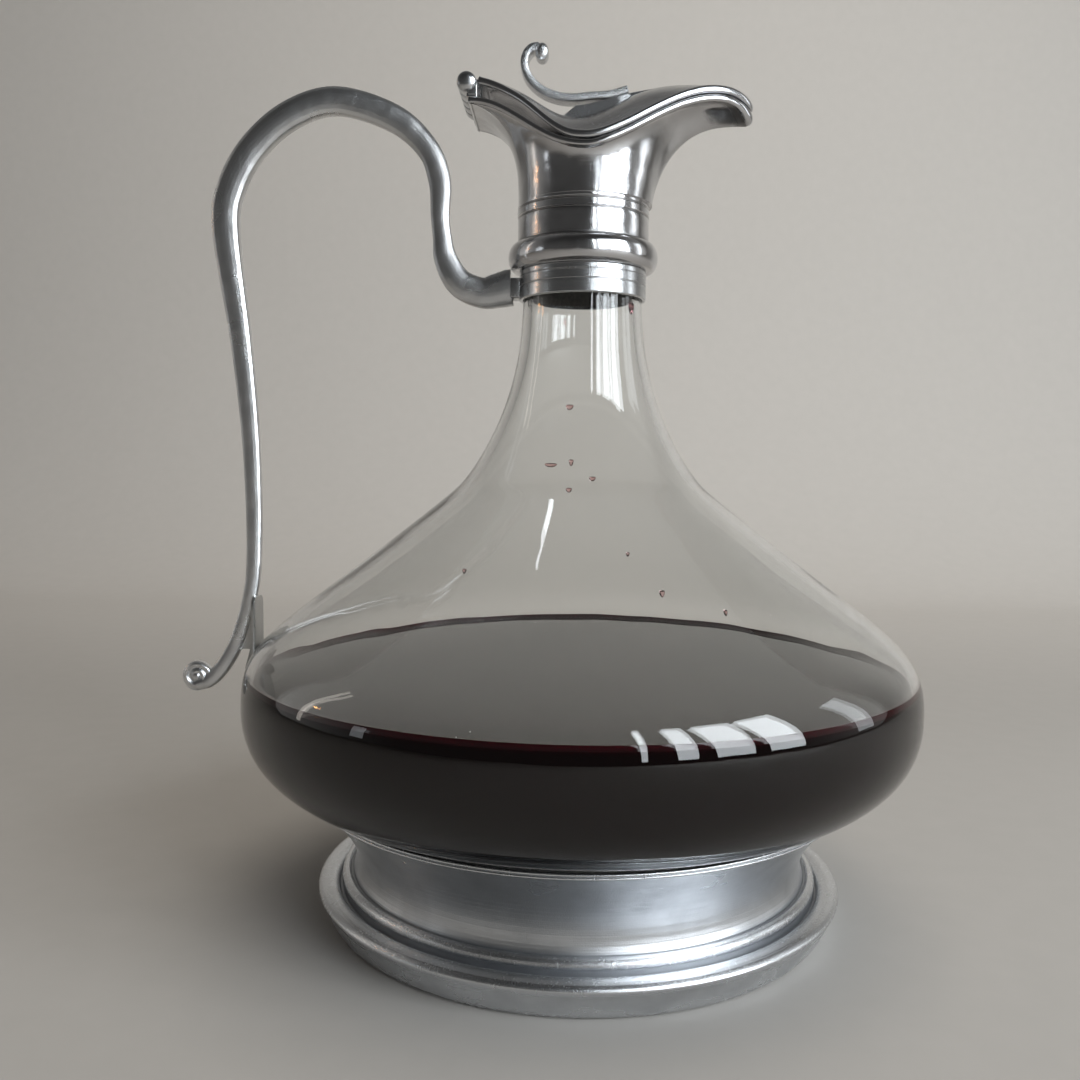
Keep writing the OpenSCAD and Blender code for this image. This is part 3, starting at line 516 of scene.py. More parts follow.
foot_r, rim_h, rim_w, step_w, step_z = 74.6, 10.6, 6.6, 3.1, 12.2
stand_r, waist_r, foot_t, bed_t = foot_r - 5.3, 63, 2.3, 0.4
bezel_r, bead_d = 75.3, 0.8
outer_groove, inner_groove = foot_r - rim_w, foot_r - rim_w - step_w
bezel_top = np.interp(bezel_r, bowl_low[:, 0], bowl_low[:, 1]) - 1.2 * bed_t
bezel_z = bezel_top - 2 * bead_d
seat_top = shifted(bowl_low, -bed_t)
seat_top = seat_top[seat_top[:, 0] < bezel_r - 0.4]
seat_under = shifted(bowl_low, -bed_t - foot_t)
seat_under = seat_under[(seat_under[:, 0] < waist_r - 4) & (seat_under[:, 0] > 33)]
wall = bezier((inner_groove - 0.2, step_z + 0.6), (waist_r - 1.2, step_z + 8),
              (waist_r + 5, bezel_z - 7), (bezel_r - 0.8, bezel_z - 0.2), 60)
wall_in = shifted(wall, foot_t)
wall_in = wall_in[wall_in[:, 1] < seat_under[-1, 1] - 1.2]
foot_profile = joined(
    [[stand_r - 3.4, 0]],
    bezier((stand_r, 0), (foot_r - 3, 0.5), (foot_r - 1.9, 5.2), (foot_r, 8.2), 30),
    bezier((foot_r, 8.2), (foot_r + 0.4, rim_h - 0.6), (foot_r - 3.5, rim_h + 0.9),
           (outer_groove + 0.9, rim_h - 1.3), 30),
    arc((outer_groove + 0.25, rim_h - 1.9), 0.5, 0.45, -20, -170, 6),
    arc((outer_groove - 1.7, step_z - 1.1), 1.6, 1.8, -25, 96, 18),
    arc((inner_groove + 0.35, step_z + 0.25), 0.5, 0.4, -60, -190, 6),
    wall,
    arc((bezel_r - 0.1, bezel_z + bead_d / 2), 0.5, bead_d / 2, -80, 80, 12),
    arc((bezel_r - 0.1, bezel_z + 1.5 * bead_d), 0.5, bead_d / 2, -80, 80, 12),
    seat_top[::-1], [[32, base_z - bed_t], [32, base_z - bed_t - foot_t]], seat_under,
    wall_in[::-1], [[inner_groove - foot_t - 1, step_z - 2.4], [stand_r - 3.6, 3.4]])
foot = surface("foot_turned", turned(foot_profile, 320), wrap_rows=True,
               relief=relief_of(foot_profile))
brushed = pewter("brushed_pewter", (0.68, 0.695, 0.715), (0.3, 0.31, 0.325), 0.27, 0.42, 0.6, 1.6,
                 depth=0.00011, uneven=0.15)
foot.data.materials.append(brushed)
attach(foot, "jug")
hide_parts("foot")

# The bedding between the seat and the glass, and the cement round the neck and behind the rest,
# are plaster and resin darkened by age. They keep the shapes that they set in.
grout, tree, shader = material("aged_cement")
here = node(tree, "TexCoord").outputs["Object"]
crumbs = node(tree, "TexNoise", {"Vector": here, "Scale": 900.0, "Detail": 6.0})
stain = node(tree, "Mix", {"Factor": crumbs.outputs["Fac"], "A": (0.035, 0.03, 0.026, 1),
                           "B": (0.13, 0.115, 0.095, 1)}, data_type="RGBA")
rough = node(tree, "Bump", {"Height": crumbs.outputs["Fac"], "Strength": 0.5, "Distance": 0.0001})
tree.links.new(stain.outputs["Result"], shader.inputs["Base Color"])
tree.links.new(rough.outputs["Normal"], shader.inputs["Normal"])
shader.inputs["Roughness"].default_value = 0.8
for name in ("foot_bedding", "neck_bedding", "rest_pad"):
    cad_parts[name].data.materials.clear()
    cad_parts[name].data.materials.append(grout)

# ---------------------------------------------------------------- the neck band
# A plain strip of pewter, rolled and soldered round the neck under the collar, with two fine
# lines turned in it. It is cemented to the glass and carries the handle's tab.

band_z, band_h, band_t, neck_bed = 173.4, 8, 0.9, 0.3
bed_r = neck_r + neck_bed
band_r = bed_r + band_t
band_profile = joined(
    [[bed_r, band_z]], arc((band_r - 0.35, band_z + 0.35), 0.35, 0.35, -90, 0, 6),
    np.stack([np.full(6, band_r), np.linspace(band_z + 0.4, band_z + 3.2, 6)], -1),
    arc((band_r + 0.06, band_z + 3.75), 0.24, 0.3, 250, 110, 8),
    np.stack([np.full(6, band_r - 0.04), np.linspace(band_z + 4.3, band_z + 6.1, 6)], -1),
    arc((band_r + 0.06, band_z + 6.4), 0.22, 0.2, 250, 110, 8),
    np.stack([np.full(4, band_r), np.linspace(band_z + 6.8, band_z + band_h - 0.3, 4)], -1),
    arc((band_r - 0.25, band_z + band_h - 0.25), 0.25, 0.25, 0, 90, 5),
    [[bed_r, band_z + band_h]])
band = surface("neck_band_rolled", turned(band_profile, 192), wrap_rows=True,
               relief=relief_of(band_profile))
satin = pewter("satin_pewter", (0.58, 0.59, 0.6), (0.23, 0.23, 0.235), 0.22, 0.36, 0.45, 0.4)
band.data.materials.append(satin)
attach(band, "jug")
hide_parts("neck_band")

# ---------------------------------------------------------------- the collar
# Turned pewter, cemented over the top of the glass neck: a fat round moulding, a plain wall and
# two fine grooves below the seam where the cast mouth is soldered on. It is polished.

collar_z, collar_h, collar_r = band_z + band_h, 18.2, 18.45
moulding_r, moulding_h, groove_gap, groove_d = 21.1, 7.4, 2.5, 0.35
groove_top = collar_z + collar_h - 1.2


def groove(z):
    """A round groove in the collar's wall at a height."""
    return arc((collar_r + 0.1, z), groove_d + 0.1, 0.3, 250, 110, 8)


def upright(z0, z1, r=collar_r):
    """A straight piece of wall."""
    z = np.linspace(z0, z1, 7)
    return np.stack([np.full(7, r), z], -1)


collar_profile = joined(
    [[bed_r, collar_z], [moulding_r - 2.6, collar_z]],
    arc((moulding_r - 2.1, collar_z + moulding_h / 2), 2.1, moulding_h / 2, -82, 82, 30),
    arc((collar_r + 0.5, collar_z + moulding_h + 0.45), 0.5, 0.45, -80, -180, 6),
    upright(collar_z + moulding_h + 0.7, groove_top - groove_gap - 0.45),
    groove(groove_top - groove_gap),
    upright(groove_top - groove_gap + 0.45, groove_top - 0.45, collar_r + 0.12),
    groove(groove_top), upright(groove_top + 0.4, collar_z + collar_h),
    [[bed_r - 1.2, collar_z + collar_h], [bed_r - 1.2, glass_top_z + 0.3],
     [bed_r, glass_top_z + 0.3]])
collar = surface("collar_turned", turned(collar_profile, 240), wrap_rows=True,
                 relief=relief_of(collar_profile))
polished = pewter("polished_pewter", (0.6, 0.6, 0.61), (0.22, 0.215, 0.21), 0.13, 0.32, 0.6, 0.3,
                  depth=0.00004, uneven=0.7)
collar.data.materials.append(polished)
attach(collar, "jug")
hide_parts("mouth_collar")

# ---------------------------------------------------------------- the mouth
# One pewter casting with a 1.6 mm wall. It leaves the collar round, sweeps out to a long pouring
# lip in front and to the hinge at the back, and has a polished bead all along its rim.

tail_x, tail_w, mouth_w = 31.5, 24.4, 43.2
lip_x, crest_x, lip_z, lip_fall = 47, 39.5, 227.4, 2.2
tail_z, dip_z, mouth_t = 226.4, 212.2, 1.6
rim_edge, drip_h = 1.9, 1.5
collar_top = collar_z + collar_h
mouth_r, mouth_off = collar_r + 0.4, 0.5


def ease(u):
    """A smooth step from 0 to 1."""
    return (1 - np.cos(np.pi * np.clip(u, 0, 1))) / 2


def mix(a, b, u):
    """The value a share u of the way from a to b."""
    return a + (b - a) * u


def outline(back):
    """The rim seen from above, as a closed ring of (x, y). Its back end is straight."""
    half, widest = tail_w / 2, mouth_w / 2
    side = bezier((-back, half), (-back + 9.5, half + 1.4), (-10, widest), (1, widest), 36)
    lip = bezier((1, widest), (16, widest), (lip_x, 8.4), (lip_x, 0), 52)
    end = np.stack([np.full(10, -back), np.linspace(0, half, 11)[:-1]], -1)
    one = joined(end, side, lip)
    return np.concatenate([one, one[-2:0:-1] * [1, -1]])


def rim_z(x):
    """The rim's height at a distance x from the neck's axis."""
    rise = np.power(ease((1 - x) / (1 + tail_x)), 1.15)
    front = np.power(ease((x - 1) / (crest_x - 1)), 0.8)
    return np.where(x < 1, mix(dip_z, tail_z, rise),
                    np.where(x < crest_x, mix(dip_z, lip_z, front),
                             lip_z - lip_fall * ((x - crest_x) / (lip_x - crest_x))**2))


def inward(ring):
    """The direction at each point of a ring that points to its inside."""
    along = np.roll(ring, -1, 0) - np.roll(ring, 1, 0)
    along /= np.linalg.norm(along, axis=1)[:, None]
    return np.stack([along[:, 1], -along[:, 0]], -1)


mouth_ring = outline(tail_x)
mouth_in = inward(mouth_ring)
to_lip = ease((mouth_ring[:, 0] - crest_x) / (lip_x - crest_x))
edge_h = rim_edge + drip_h * to_lip


def rounded_off(inset, drop):
    """A line round the rim, set in from it. Below the edge's middle the inset grows towards
    the lip, so that the edge is rounder there."""
    growth = mix(1, 2.6, to_lip) if drop > 0.5 else np.ones(len(to_lip))
    return mouth_ring + (inset * growth)[:, None] * mouth_in


def mouth_row(angle, base_r, inset, drop):
    """One line round the wall. angle runs from 0 at the collar to 90 at the rim, and the wall
    bends in a full curve under the lip and in a tighter one at the back."""
    edge = rounded_off(inset, drop)
    top = rim_z(mouth_ring[:, 0]) - drop * edge_h
    way = np.arctan2(mouth_ring[:, 1], mouth_ring[:, 0])
    share = ((1 + np.cos(way)) / 2)[:, None]
    start = base_r * np.stack([np.cos(way), np.sin(way)], -1) + [mouth_off, 0]
    a = np.radians(angle)
    flat = mix(edge, start, np.power(np.cos(a) + 1e-12, mix(1.25, 0.667, share)))
    rise = mix(collar_top, top[:, None], np.power(np.sin(a), mix(0.667, 1.333, share)))
    return np.concatenate([flat, rise], 1)


def rim_row(inset, drop):
    """One line along the rim's bead, set in from the outline and down from the top."""
    edge = rounded_off(inset, drop)
    return np.concatenate([edge, (rim_z(mouth_ring[:, 0]) - drop * edge_h)[:, None]], 1)


out_angles = np.concatenate([np.linspace(0, 60, 22), np.linspace(63, 90, 16)])
bead = [(0.62, 0.99), (0.5, 0.94), (0.2, 0.86), (0.05, 0.72), (0.0, 0.55), (0.02, 0.38),
        (0.12, 0.2), (0.32, 0.06), (0.6, 0.0), (0.95, 0.0)]
in_angles = np.linspace(90, 0, 26)
mouth_grid = np.stack([mouth_row(a, mouth_r, 0.75, 1) for a in out_angles]
                      + [rim_row(*p) for p in bead]
                      + [mouth_row(a, bed_r - 0.7, mouth_t, 0.0) for a in in_angles])
# The crease under the rim's bead is darkest, with oxide and painted shade. The bead's top is a
# bright worn edge. The inside is set a little low, which is painted shade.
mouth_relief_and_shade = np.concatenate([np.zeros(len(out_angles) - 2), [-0.7, -1, -0.6, 0, 0.5],
                               np.full(7, 0.9), np.full(len(in_angles), -0.25)])
mouth = surface("mouth_cast", mouth_grid, wrap_rows=True, relief=mouth_relief_and_shade, smooth_to=50)
mouth.data.materials.append(polished)
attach(mouth, "jug")
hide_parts("mouth_body")

# ---------------------------------------------------------------- the hinge
# Five cast knuckles on a pin of hard wire with domed ends. Three are soldered to the back of
# the mouth and two to the back of the lid.

hinge_x, hinge_z, knuckle_r, barrel_l = 32, 230.4, 2.7, 24.4
pin_r, pin_head_r, pin_head_h, knuckle_gap = 1.05, 2.55, 1.1, 0.3
knuckle_l = (barrel_l - 4 * knuckle_gap) / 5
knuckle_step = knuckle_l + knuckle_gap


def turned_along_y(profile, y, turns=64):
    """A profile of (radius, distance along Y) carried round the hinge pin, from y."""
    a = np.linspace(0, 2 * np.pi, turns, endpoint=False)
    radius, along = profile[:, :1], profile[:, 1:]
    return np.stack([radius * np.cos(a) - hinge_x, y + along + 0 * a,
                     radius * np.sin(a) + hinge_z], -1)


def knuckle_span(number):
    """Where a knuckle's block begins and ends along the pin, just inside the knuckle's ends."""
    middle, half = number * knuckle_step, knuckle_l / 2 - 0.05
    return middle - half, middle + half


def knuckle_profile(bore):
    """A knuckle with eased ends, bored for the pin."""
    half, round_r = knuckle_l / 2, 0.75
    return joined([[bore, -half]], arc((knuckle_r - round_r, -half + round_r), round_r, round_r,
                                       -90, 0, 5),
                  arc((knuckle_r - round_r, half - round_r), round_r, round_r, 0, 90, 5),
                  [[bore, half]])


def block(name, low, high, ease_by=0.25):
    """A small soldered block between two corners, its edges eased."""
    low, high = np.array(low, float), np.array(high, float)
    mesh = bpy.data.meshes.new(name)
    shell = bmesh.new()
    bmesh.ops.create_cube(shell, size=1)
    bmesh.ops.scale(shell, vec=(high - low) / 1000, verts=shell.verts)
    bmesh.ops.translate(shell, vec=(high + low) / 2000, verts=shell.verts)
    bmesh.ops.bevel(shell, geom=shell.edges[:], offset=ease_by / 1000, segments=3,
                    affect="EDGES", profile=0.5)
    shell.to_mesh(mesh)
    shell.free()
    mesh.shade_smooth()
    made = bpy.data.objects.new(name, mesh)
    scene.collection.objects.link(made)
    return made


def join(name, pieces):
    """Several meshes as one piece, with the first one's materials."""
    shell = bmesh.new()
    for piece in pieces:
        shell.from_mesh(piece.data)
    mesh = bpy.data.meshes.new(name)
    shell.to_mesh(mesh)
    shell.free()
    mesh.set_sharp_from_angle(angle=np.radians(40))
    made = bpy.data.objects.new(name, mesh)
    scene.collection.objects.link(made)
    for piece in pieces:
        bpy.data.objects.remove(piece)
    return made


# The fixed leaf stays below the moving knuckles, which turn just clear of it.
leaf_z = hinge_z - knuckle_r - 0.35
fixed = [surface(f"knuckle_{k}", turned_along_y(knuckle_profile(pin_r), k * knuckle_step),
                 wrap_rows=True) for k in (-2, 0, 2)]
fixed.append(block("leaf", (-hinge_x, -tail_w / 2 + 0.1, tail_z - 0.3),
                   (-hinge_x + 2.9, tail_w / 2 - 0.1, leaf_z)))
fixed += [block(f"root_{k}", (-hinge_x + 0.4, knuckle_span(k)[0], leaf_z - 0.6),
                (-hinge_x + 2.9, knuckle_span(k)[1], hinge_z - 0.7)) for k in (-2, 0, 2)]
mouth_hinge = join("hinge_on_mouth", fixed)
mouth_hinge.data.materials.append(satin)
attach(mouth_hinge, "jug")
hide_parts("mouth_knuckles")

head = arc((0, 0), pin_head_r, pin_head_h, 0, 90, 12)
pin_profile = joined([[0, -barrel_l / 2 - pin_head_h]],
                     np.stack([head[::-1, 0], -barrel_l / 2 - head[::-1, 1]], -1)[1:],
                     [[pin_r, -barrel_l / 2], [pin_r, barrel_l / 2]],
                     np.stack([head[:, 0], barrel_l / 2 + head[:, 1]], -1)[:-1],
                     [[0, barrel_l / 2 + pin_head_h]])
pin = surface("hinge_pin_wire", turned_along_y(pin_profile, 0), smooth_to=50)
pin.data.materials.append(satin)
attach(pin, "jug")
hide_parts("hinge_pin")

lid_back_x = hinge_x - knuckle_r - 0.5
leaf_h = 2.2
moving = [surface(f"lid_knuckle_{k}", turned_along_y(knuckle_profile(pin_r + 0.05),
                                                     k * knuckle_step), wrap_rows=True)
          for k in (-1, 1)]
moving += [block(f"lid_leaf_{k}", (-hinge_x + 1.3, knuckle_span(k)[0], hinge_z),
                 (-lid_back_x + 0.35, knuckle_span(k)[1], hinge_z + leaf_h)) for k in (-1, 1)]
lid_hinge = join("hinge_on_lid", moving)
lid_hinge.data.materials.append(satin)
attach(lid_hinge, "lid")
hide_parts("lid_knuckles")

# ---------------------------------------------------------------- the lid
# A domed pewter casting that follows the rim, with a broad polished edge and a satin dome. It
# stands clear of the mouth at the back, where it rises to meet the hinge.

lid_gap, lid_lift, lid_edge, lid_t = 0.35, 3.1, 2.1, 1.4
dome_h, dome_back_h, dome_lip_h = 10.2, 2.4, 1.2


def dome_at(x):
    """Rise of the dome along the lid's middle."""
    back = np.power(ease((x + lid_back_x) / (11 + lid_back_x)), 0.8)
    front = np.power(ease((lip_x - x) / (lip_x - 11)), 1.45)
    return np.where(x < 11, mix(dome_back_h, dome_h, back), mix(dome_lip_h, dome_h, front))


def lid_low_z(x):
    """Height of the lid's lower edge."""
    return rim_z(x) + lid_gap + lid_lift * ease((-2 - x) / 17)


def lid_crest_z(x):
    """Height of the lid's top over its middle line."""
    return lid_low_z(x) + lid_edge + dome_at(x)


lid_ring = outline(lid_back_x)
lid_in = inward(lid_ring)
spine = mix(-lid_back_x + 2.6, lip_x - 8, (lid_ring[:, 0] + lid_back_x) / (lip_x + lid_back_x))
spine = np.stack([spine + 0.12 * np.abs(lid_ring[:, 1]) * ease(-lid_ring[:, 0] / 25),
                  0 * spine], -1)


def dome_row(v, below):
    """One ring of the dome, a share v of the way from the middle line to the edge."""
    q = mix(spine, lid_ring + 0.8 * lid_in, v)
    z = lid_low_z(q[:, 0]) + lid_edge + dome_at(q[:, 0]) * (1 - v * v) - below
    return np.concatenate([q, np.maximum(z, lid_low_z(q[:, 0]))[:, None]], 1)


def lid_edge_row(inset, rise):
    """One ring of the lid's edge, set in from the outline and up from its lowest line."""
    q = lid_ring + inset * lid_in
    return np.concatenate([q, (lid_low_z(lid_ring[:, 0]) + rise)[:, None]], 1)


lid_under = [dome_row(v, lid_t + 0.25) for v in (0.0, 0.15, 0.3, 0.45, 0.6, 0.74, 0.86)]
lid_band = [lid_edge_row(inset, rise * lid_edge) for inset, rise in
            ((1.8, 0), (0.7, 0), (0.42, 0.02), (0.2, 0.09), (0.06, 0.22), (0.0, 0.4), (0.02, 0.58),
             (0.1, 0.74), (0.26, 0.88), (0.46, 0.97), (0.62, 0.985))]
lid_top = [dome_row(v, 0) for v in (1, 0.985, 0.96, 0.92, 0.86, 0.79, 0.71, 0.62, 0.53, 0.44, 0.35,
                                    0.26, 0.17, 0.08, 0.0)]
lid_grid = np.stack(lid_under + lid_band + lid_top)
# The lid's underside is set a little low, which is painted shade. The crease between the edge and
# the dome is dark, with oxide and painted shade. The edge is bright and worn.
lid_relief_and_shade = np.concatenate([np.full(len(lid_under), -0.3), np.full(len(lid_band) - 2, 1.0),
                             [0.3, -0.9], [-0.5], np.full(len(lid_top) - 1, 0.0)])
lid = surface("lid_cast", lid_grid, relief=lid_relief_and_shade, smooth_to=55)
lid_metal = pewter("lid_pewter", (0.57, 0.575, 0.59), (0.24, 0.24, 0.25), 0.19, 0.36, 0.6, 0.0,
                   uneven=0.3)
lid.data.materials.append(lid_metal)
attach(lid, "lid")
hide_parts("lid")

# ---------------------------------------------------------------- the saddle strap
# A tapered strip of pewter soldered along the lid's middle. It lifts the scroll off the dome
# at its thick end and runs out thin towards the lip.

strap_from, strap_to, strap_w, strap_t = -6.2, 25, 5, 3.7


def strap_top_z(x):
    """Height of the strap's top."""
    return lid_crest_z(x) + mix(strap_t, 0.45, ease(x / 20))


strap_x = np.concatenate([[strap_from, strap_from + 0.25],
                          np.linspace(strap_from + 3.8, strap_to, 40)])
strap_z = np.where(strap_x < strap_from + 1, lid_crest_z(strap_x) + 0.5, strap_top_z(strap_x))
strap_half = np.interp(strap_x, [strap_from, mix(strap_from, strap_to, 0.5), strap_to],
                       [strap_w / 2, strap_w / 2, 0.8])
around = [(-1, -1.0, 0), (-1, 0.35, 1), (-0.94, 0.12, 1), (-0.8, 0, 1), (-0.4, 0, 1), (0, 0, 1),
          (0.4, 0, 1), (0.8, 0, 1), (0.94, 0.12, 1), (1, 0.35, 1), (1, -1.0, 0)]
strap_grid = np.stack([np.stack([strap_x, side * strap_half,
                                 np.where(top, strap_z - down, lid_crest_z(strap_x) - 1.2)], -1)
                       for side, down, top in around], 1)
ends = [strap_grid[i].mean(0) + 0 * strap_grid[i] for i in (0, -1)]
strap = surface("saddle_strap", np.concatenate([[ends[0]], strap_grid, [ends[1]]]), smooth_to=30)
strap.data.materials.append(satin)
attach(strap, "lid")
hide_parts("lid_strap")

# ---------------------------------------------------------------- the scroll
# A cast pewter bar, square in section with eased edges and a hammered face. It lies on the
# strap, runs back and up over the hinge side, and curls into a ball for the thumb.

scroll_t, scroll_w, scroll_back, scroll_top = 2.2, 5.4, 14.1, 14.1


def spline(knots, steps):
    """A smooth line through every knot, with steps to a span."""
    k = np.asarray(knots, float)
    k = np.concatenate([[2 * k[0] - k[1]], k, [2 * k[-1] - k[-2]]])
    t = (np.arange(steps) / steps)[None, :, None]
    a, b, c, d = (k[i:len(k) - 3 + i, None] for i in range(4))
    line = (b + t * (c - a) / 2 + t**2 * (a - 2.5 * b + 2 * c - d / 2)
            + t**3 * (1.5 * (b - c) + (d - a) / 2))
    return np.concatenate([line.reshape(-1, k.shape[1]), k[-2:-1]])


back_x, top_z = -hinge_x + scroll_back, hinge_z + scroll_top
scroll_line = spline([
    [12, strap_top_z(12) + scroll_t / 2 - 0.1], [7, strap_top_z(7) + scroll_t / 2 - 0.1],
    [back_x + 19.4, top_z - 14.8], [back_x + 15.2, top_z - 15.2], [back_x + 11.1, top_z - 14.9],
    [back_x + 6.9, top_z - 13.5], [back_x + 3.8, top_z - 11.3], [back_x + 1.8, top_z - 8.7],
    [back_x + 1, top_z - 5.7], [back_x + 1.5, top_z - 3.3], [back_x + 3, top_z - 1.6],
    [back_x + 5.1, top_z - 1.2]], 10)


def bar(line, half_t, half_w, section):
    """A bar along a line of (x, z). section is its outline, as shares of its half thickness and
    half width, and both may change along the line."""
    along = np.gradient(line, axis=0)
    along /= np.linalg.norm(along, axis=1)[:, None]
    side = np.stack([-along[:, 1], along[:, 0]], -1)
    u, v = section[None, :, 0] * half_t[:, None], section[None, :, 1] * half_w[:, None]
    return np.stack([line[:, :1] + side[:, :1] * u, v, line[:, 1:] + side[:, 1:] * u], -1)


def eased_square(corner, steps=5):
    """A square from -1 to 1 whose corners are rounded by a share of its half width."""
    spots = [arc((sx * (1 - corner), sz * (1 - corner)), corner, corner, a, a + 90, steps)
             for sx, sz, a in ((1, 1, 0), (-1, 1, 90), (-1, -1, 180), (1, -1, 270))]
    return np.concatenate(spots)


def capped(grid, reach=0.0):
    """A bar's grid, closed at each end by its own middle, pushed out by a reach in mm."""
    ends = []
    for i, j in ((0, 1), (-1, -2)):
        middle, before = grid[i].mean(0), grid[j].mean(0)
        way = (middle - before) / np.linalg.norm(middle - before)
        ends.append([middle + 0.8 * (grid[i] - middle) + 0.55 * reach * way,
                     middle + 0.4 * (grid[i] - middle) + 0.9 * reach * way,
                     0 * grid[i] + middle + reach * way])
    return np.concatenate([ends[0][::-1], grid, ends[1]])


even = np.ones(len(scroll_line))
scroll_grid = bar(scroll_line, even * scroll_t / 2, even * scroll_w / 2, eased_square(0.3))
ball_a = np.linspace(0, 2 * np.pi, 40, endpoint=False)
ball_at = scroll_line[-1] + [0.8, -1.3]
ball_y = np.linspace(-1, 1, 15)
swell = np.sqrt(1 - (0.93 * ball_y)**6)
ball_grid = np.stack([ball_at[0] + 1.85 * swell[:, None] * np.cos(ball_a),
                      scroll_w / 2 * ball_y[:, None] + 0 * ball_a,
                      ball_at[1] + 2.4 * swell[:, None] * np.sin(ball_a)], -1)
bar_piece = surface("scroll_bar", capped(scroll_grid, 0.3), smooth_to=50)
ball_piece = surface("scroll_ball", capped(ball_grid, 0.15), smooth_to=60)
scroll = join("scroll_cast", [bar_piece, ball_piece])
hammered = pewter("hammered_pewter", (0.66, 0.67, 0.68), (0.25, 0.25, 0.25), 0.2, 0.34, 1.6, 0.0,
                  depth=0.00012, uneven=0.5)
scroll.data.materials.append(hammered)
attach(scroll, "lid")
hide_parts("thumbpiece")

# ---------------------------------------------------------------- the handle
# One long pewter casting, bent to shape: an end block soldered to the band's tab, a hook, a
# high loop and a slender tail that ends in a rolled volute, just clear of the bowl.

loop_x, loop_z, handle_t, handle_low_t, handle_aspect = 106.4, 233.3, 8, 4.1, 0.66
tab_t, tab_w, volute_r = 2.6, 7, 4.35
tab_x = -band_r - tab_t
hook_z = band_z + band_h / 2
outer_x, over_z = -loop_x + handle_t / 2, loop_z - handle_t / 2
volute_at = np.array([-1.186 * bowl_r, bowl_z + 0.031 * bowl_r])

upper = np.array([
    [0, -0.002, 1.287], [0.044, -0.018, 1.2], [0.1, -0.03, 1.075], [0.178, 0.024, 1],
    [0.226, 0.15, 0.835], [0.239, 0.272, 0.676], [0.246, 0.392, 0.676], [0.248, 0.575, 0.8],
    [0.291, 0.747, 0.82], [0.407, 0.907, 0.94], [0.604, 1, 0.98], [0.768, 0.927, 1],
    [0.899, 0.755, 1], [0.978, 0.541, 1], [1, 0.305, 0.976]])
lower = np.array([
    [1.002, 0.547, 1.136], [1.005, 0.379, 1.045], [1.017, 0.288, 1], [1.038, 0.207, 1],
    [1.069, 0.123, 1.045], [1.111, 0.056, 1.091], [1.15, 0.016, 1]])
handle_knots = np.concatenate([
    np.stack([mix(tab_x, outer_x, upper[:, 0]), mix(hook_z, over_z, upper[:, 1]),
              upper[:, 2] * handle_t], -1),
    [[mix(outer_x, -bowl_r, 0.52), mix(over_z, bowl_z, 0.394), 1.5 * handle_low_t],
     [mix(outer_x, -bowl_r, 0.86), mix(over_z, bowl_z, 0.553), 1.273 * handle_low_t]],
    np.stack([-lower[:, 0] * bowl_r, bowl_z + lower[:, 1] * bowl_r,
              lower[:, 2] * handle_low_t], -1),
    [[volute_at[0], volute_at[1] - volute_r + 1.7, 0.727 * handle_low_t]]])
handle_line = spline(handle_knots, 12)


def bevelled_section(corner, steps=4):
    """A rectangle from -1 to 1 with flat faces and broad bevels. corner is its first corner,
    and every edge is worn a little round."""
    x, y = np.array(corner).T
    four = np.concatenate([np.stack(pair, -1) for pair in (
        (x, y), (-x[::-1], y[::-1]), (-x, -y), (x[::-1], -y[::-1]))])
    worn = 0.16
    before = four + worn * (np.roll(four, 1, 0) - four)
    after = four + worn * (np.roll(four, -1, 0) - four)
    t = np.linspace(0, 1, steps)[None, :, None]
    return ((1 - t)**2 * before[:, None] + 2 * t * (1 - t) * four[:, None]
            + t**2 * after[:, None]).reshape(-1, 2)


section = bevelled_section([[1, 0.3], [0.93, 0.62], [0.7, 0.84], [0.36, 0.96], [0.12, 0.995]])
handle_grid = bar(handle_line[:, :2], handle_line[:, 2] / 2,
                  np.maximum(handle_line[:, 2], 1.3 * handle_low_t) * handle_aspect / 2, section)
handle_grid[0, :, 0] = tab_x
handle_bar = surface("handle_bar", capped(handle_grid), smooth_to=30)
drum_a = np.linspace(0, 2 * np.pi, 72, endpoint=False)


def volute_face(side):
    """A face of the volute: a raised line that winds in from the rim to a round eye."""
    r = np.linspace(0.0, 1, 40)[:, None]
    turns = drum_a[None, :] / (2 * np.pi)
    wave = 0.5 + 0.5 * np.cos(2 * np.pi * (2.1 * r - side * turns))
    eye = np.exp(-(r / 0.24)**4)
    rise = 0.5 * wave * (1 - eye) + 0.65 * eye - 0.5 * r**8
    y = side * (0.27 * handle_low_t + rise)
    return np.stack([volute_at[0] + volute_r * r * np.cos(drum_a), y,
                     volute_at[1] + volute_r * r * np.sin(drum_a)], -1)


volute_grid = np.concatenate([volute_face(-1), volute_face(1)[::-1]])
volute = surface("volute", volute_grid, smooth_to=50)
handle = join("handle_cast", [handle_bar, volute])
handle_metal = pewter("handle_pewter", (0.72, 0.725, 0.73), (0.32, 0.32, 0.32), 0.27, 0.45, 1.2,
                      0.0, depth=0.00009, uneven=0.8)
handle.data.materials.append(handle_metal)
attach(handle, "jug")
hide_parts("handle")

tab = block("handle_bracket", (tab_x, -tab_w / 2, band_z + 0.07 * band_h),
            (-band_r + 0.5, tab_w / 2, band_z + 0.77 * band_h), 0.4)
tab.data.materials.append(satin)
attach(tab, "jug")
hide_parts("handle_tab")

# ---------------------------------------------------------------- the rest
# A thin cast leaf with a round-cornered top, joined to the handle's tail by a waisted web. It
# hugs the bowl on a thin resin pad and takes the handle's push, so that the neck doesn't.

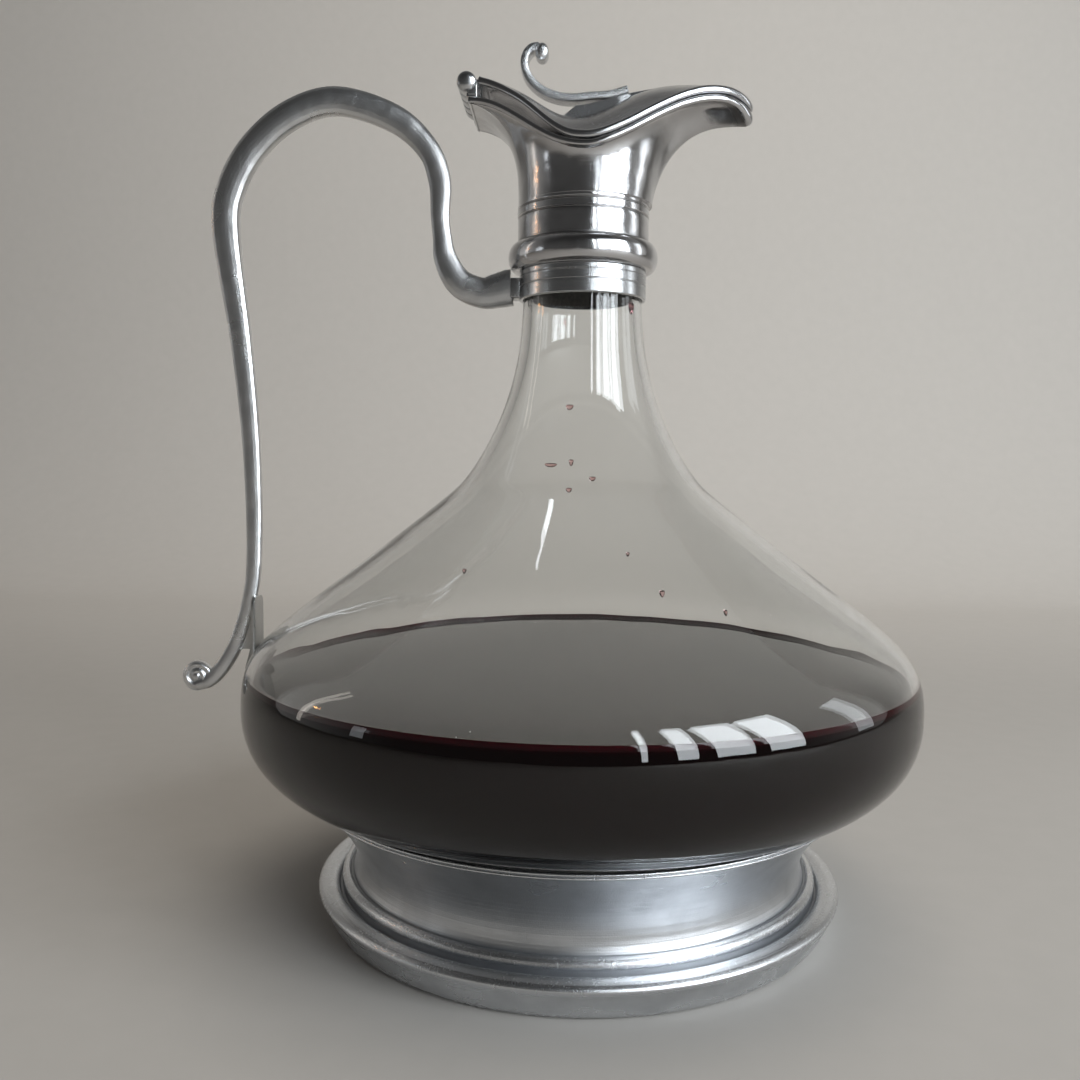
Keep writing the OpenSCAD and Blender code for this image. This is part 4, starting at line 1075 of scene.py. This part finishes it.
rest_w, rest_t, rest_top_z, rest_low_z, pad_t = 9.2, 1.2, 88, 58.5, 0.4
web_low_z, web_top_z, web_reach = 72.2, 87.6, 4.6
leaf_face = -0.99 * bowl_r
leaf_back = leaf_face - rest_t
low_back = -bowl_r - pad_t - 1.6 * rest_t
corner_r = 0.3 * rest_w
to_top = np.sin(np.radians(np.linspace(0, 88, 12)))
leaf_at = np.concatenate([rest_low_z + np.array([0, 0.1, 0.4, 0.9]),
                          np.linspace(rest_low_z + 1.5, rest_top_z - 4, 40),
                          rest_top_z - corner_r + corner_r * to_top])
over = np.clip((leaf_at - rest_top_z + corner_r) / corner_r, 0, 1)
leaf_half = (rest_w / 2 - corner_r * (1 - np.sqrt(1 - over**2))
             - 0.5 * np.clip(rest_low_z + 0.9 - leaf_at, 0, 1))
outside = np.interp(leaf_at, glass_out[:, 1], glass_out[:, 0])
leaf_front = np.where(leaf_at < bowl_z + 12, np.minimum(-outside - pad_t, leaf_face), leaf_face)
leaf_rear = np.interp(leaf_at, [rest_low_z, rest_low_z + 1.2, bowl_z + 6, web_low_z + 1.4,
                                rest_top_z - 8, rest_top_z],
                      [low_back + 0.8, low_back, low_back, leaf_back - 0.3, leaf_back, leaf_back])
through, across = eased_square(0.22).T
thinned = (1 - np.abs(across)**12 * 0.25) * through
leaf_grid = np.stack([mix(leaf_rear[:, None], leaf_front[:, None], (1 + thinned) / 2),
                      leaf_half[:, None] * across, leaf_at[:, None] + 0 * across], -1)
leaf = surface("rest_leaf", capped(leaf_grid), smooth_to=40)

# The web is thinner in its middle than at the leaf and the handle.
web_at = np.concatenate([web_low_z + np.array([0, 0.3, 0.8]),
                         np.linspace(web_low_z + 1.4, web_top_z - 0.4, 24), [web_top_z]])
tail = handle_line[(handle_line[:, 1] > bowl_z + 5) & (handle_line[:, 1] < rest_top_z + 12)]
tail_x_at = np.interp(web_at, tail[::-1, 1], tail[::-1, 0])
web_share = np.linspace(0, 1, 12)
web_x = mix(leaf_back + 0.3, np.maximum(tail_x_at, leaf_back - web_reach)[:, None], web_share)
web_half = 0.15 * rest_w * (0.45 + 0.55 * np.abs(2 * web_share - 1)**2.5)
web_sides = [np.stack([web_x, side * web_half + 0 * web_x, web_at[:, None] + 0 * web_x], -1)
             for side in (1, -1)]
web_grid = np.concatenate([web_sides[0], web_sides[1][:, ::-1]], 1)
web = surface("rest_web", capped(web_grid), smooth_to=40)
rest = join("rest_cast", [leaf, web])
rest_metal = pewter("rest_pewter", (0.5, 0.5, 0.49), (0.2, 0.195, 0.19), 0.28, 0.42, 0.8, 0.0)
rest.data.materials.append(rest_metal)
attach(rest, "jug")
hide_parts("handle_rest")
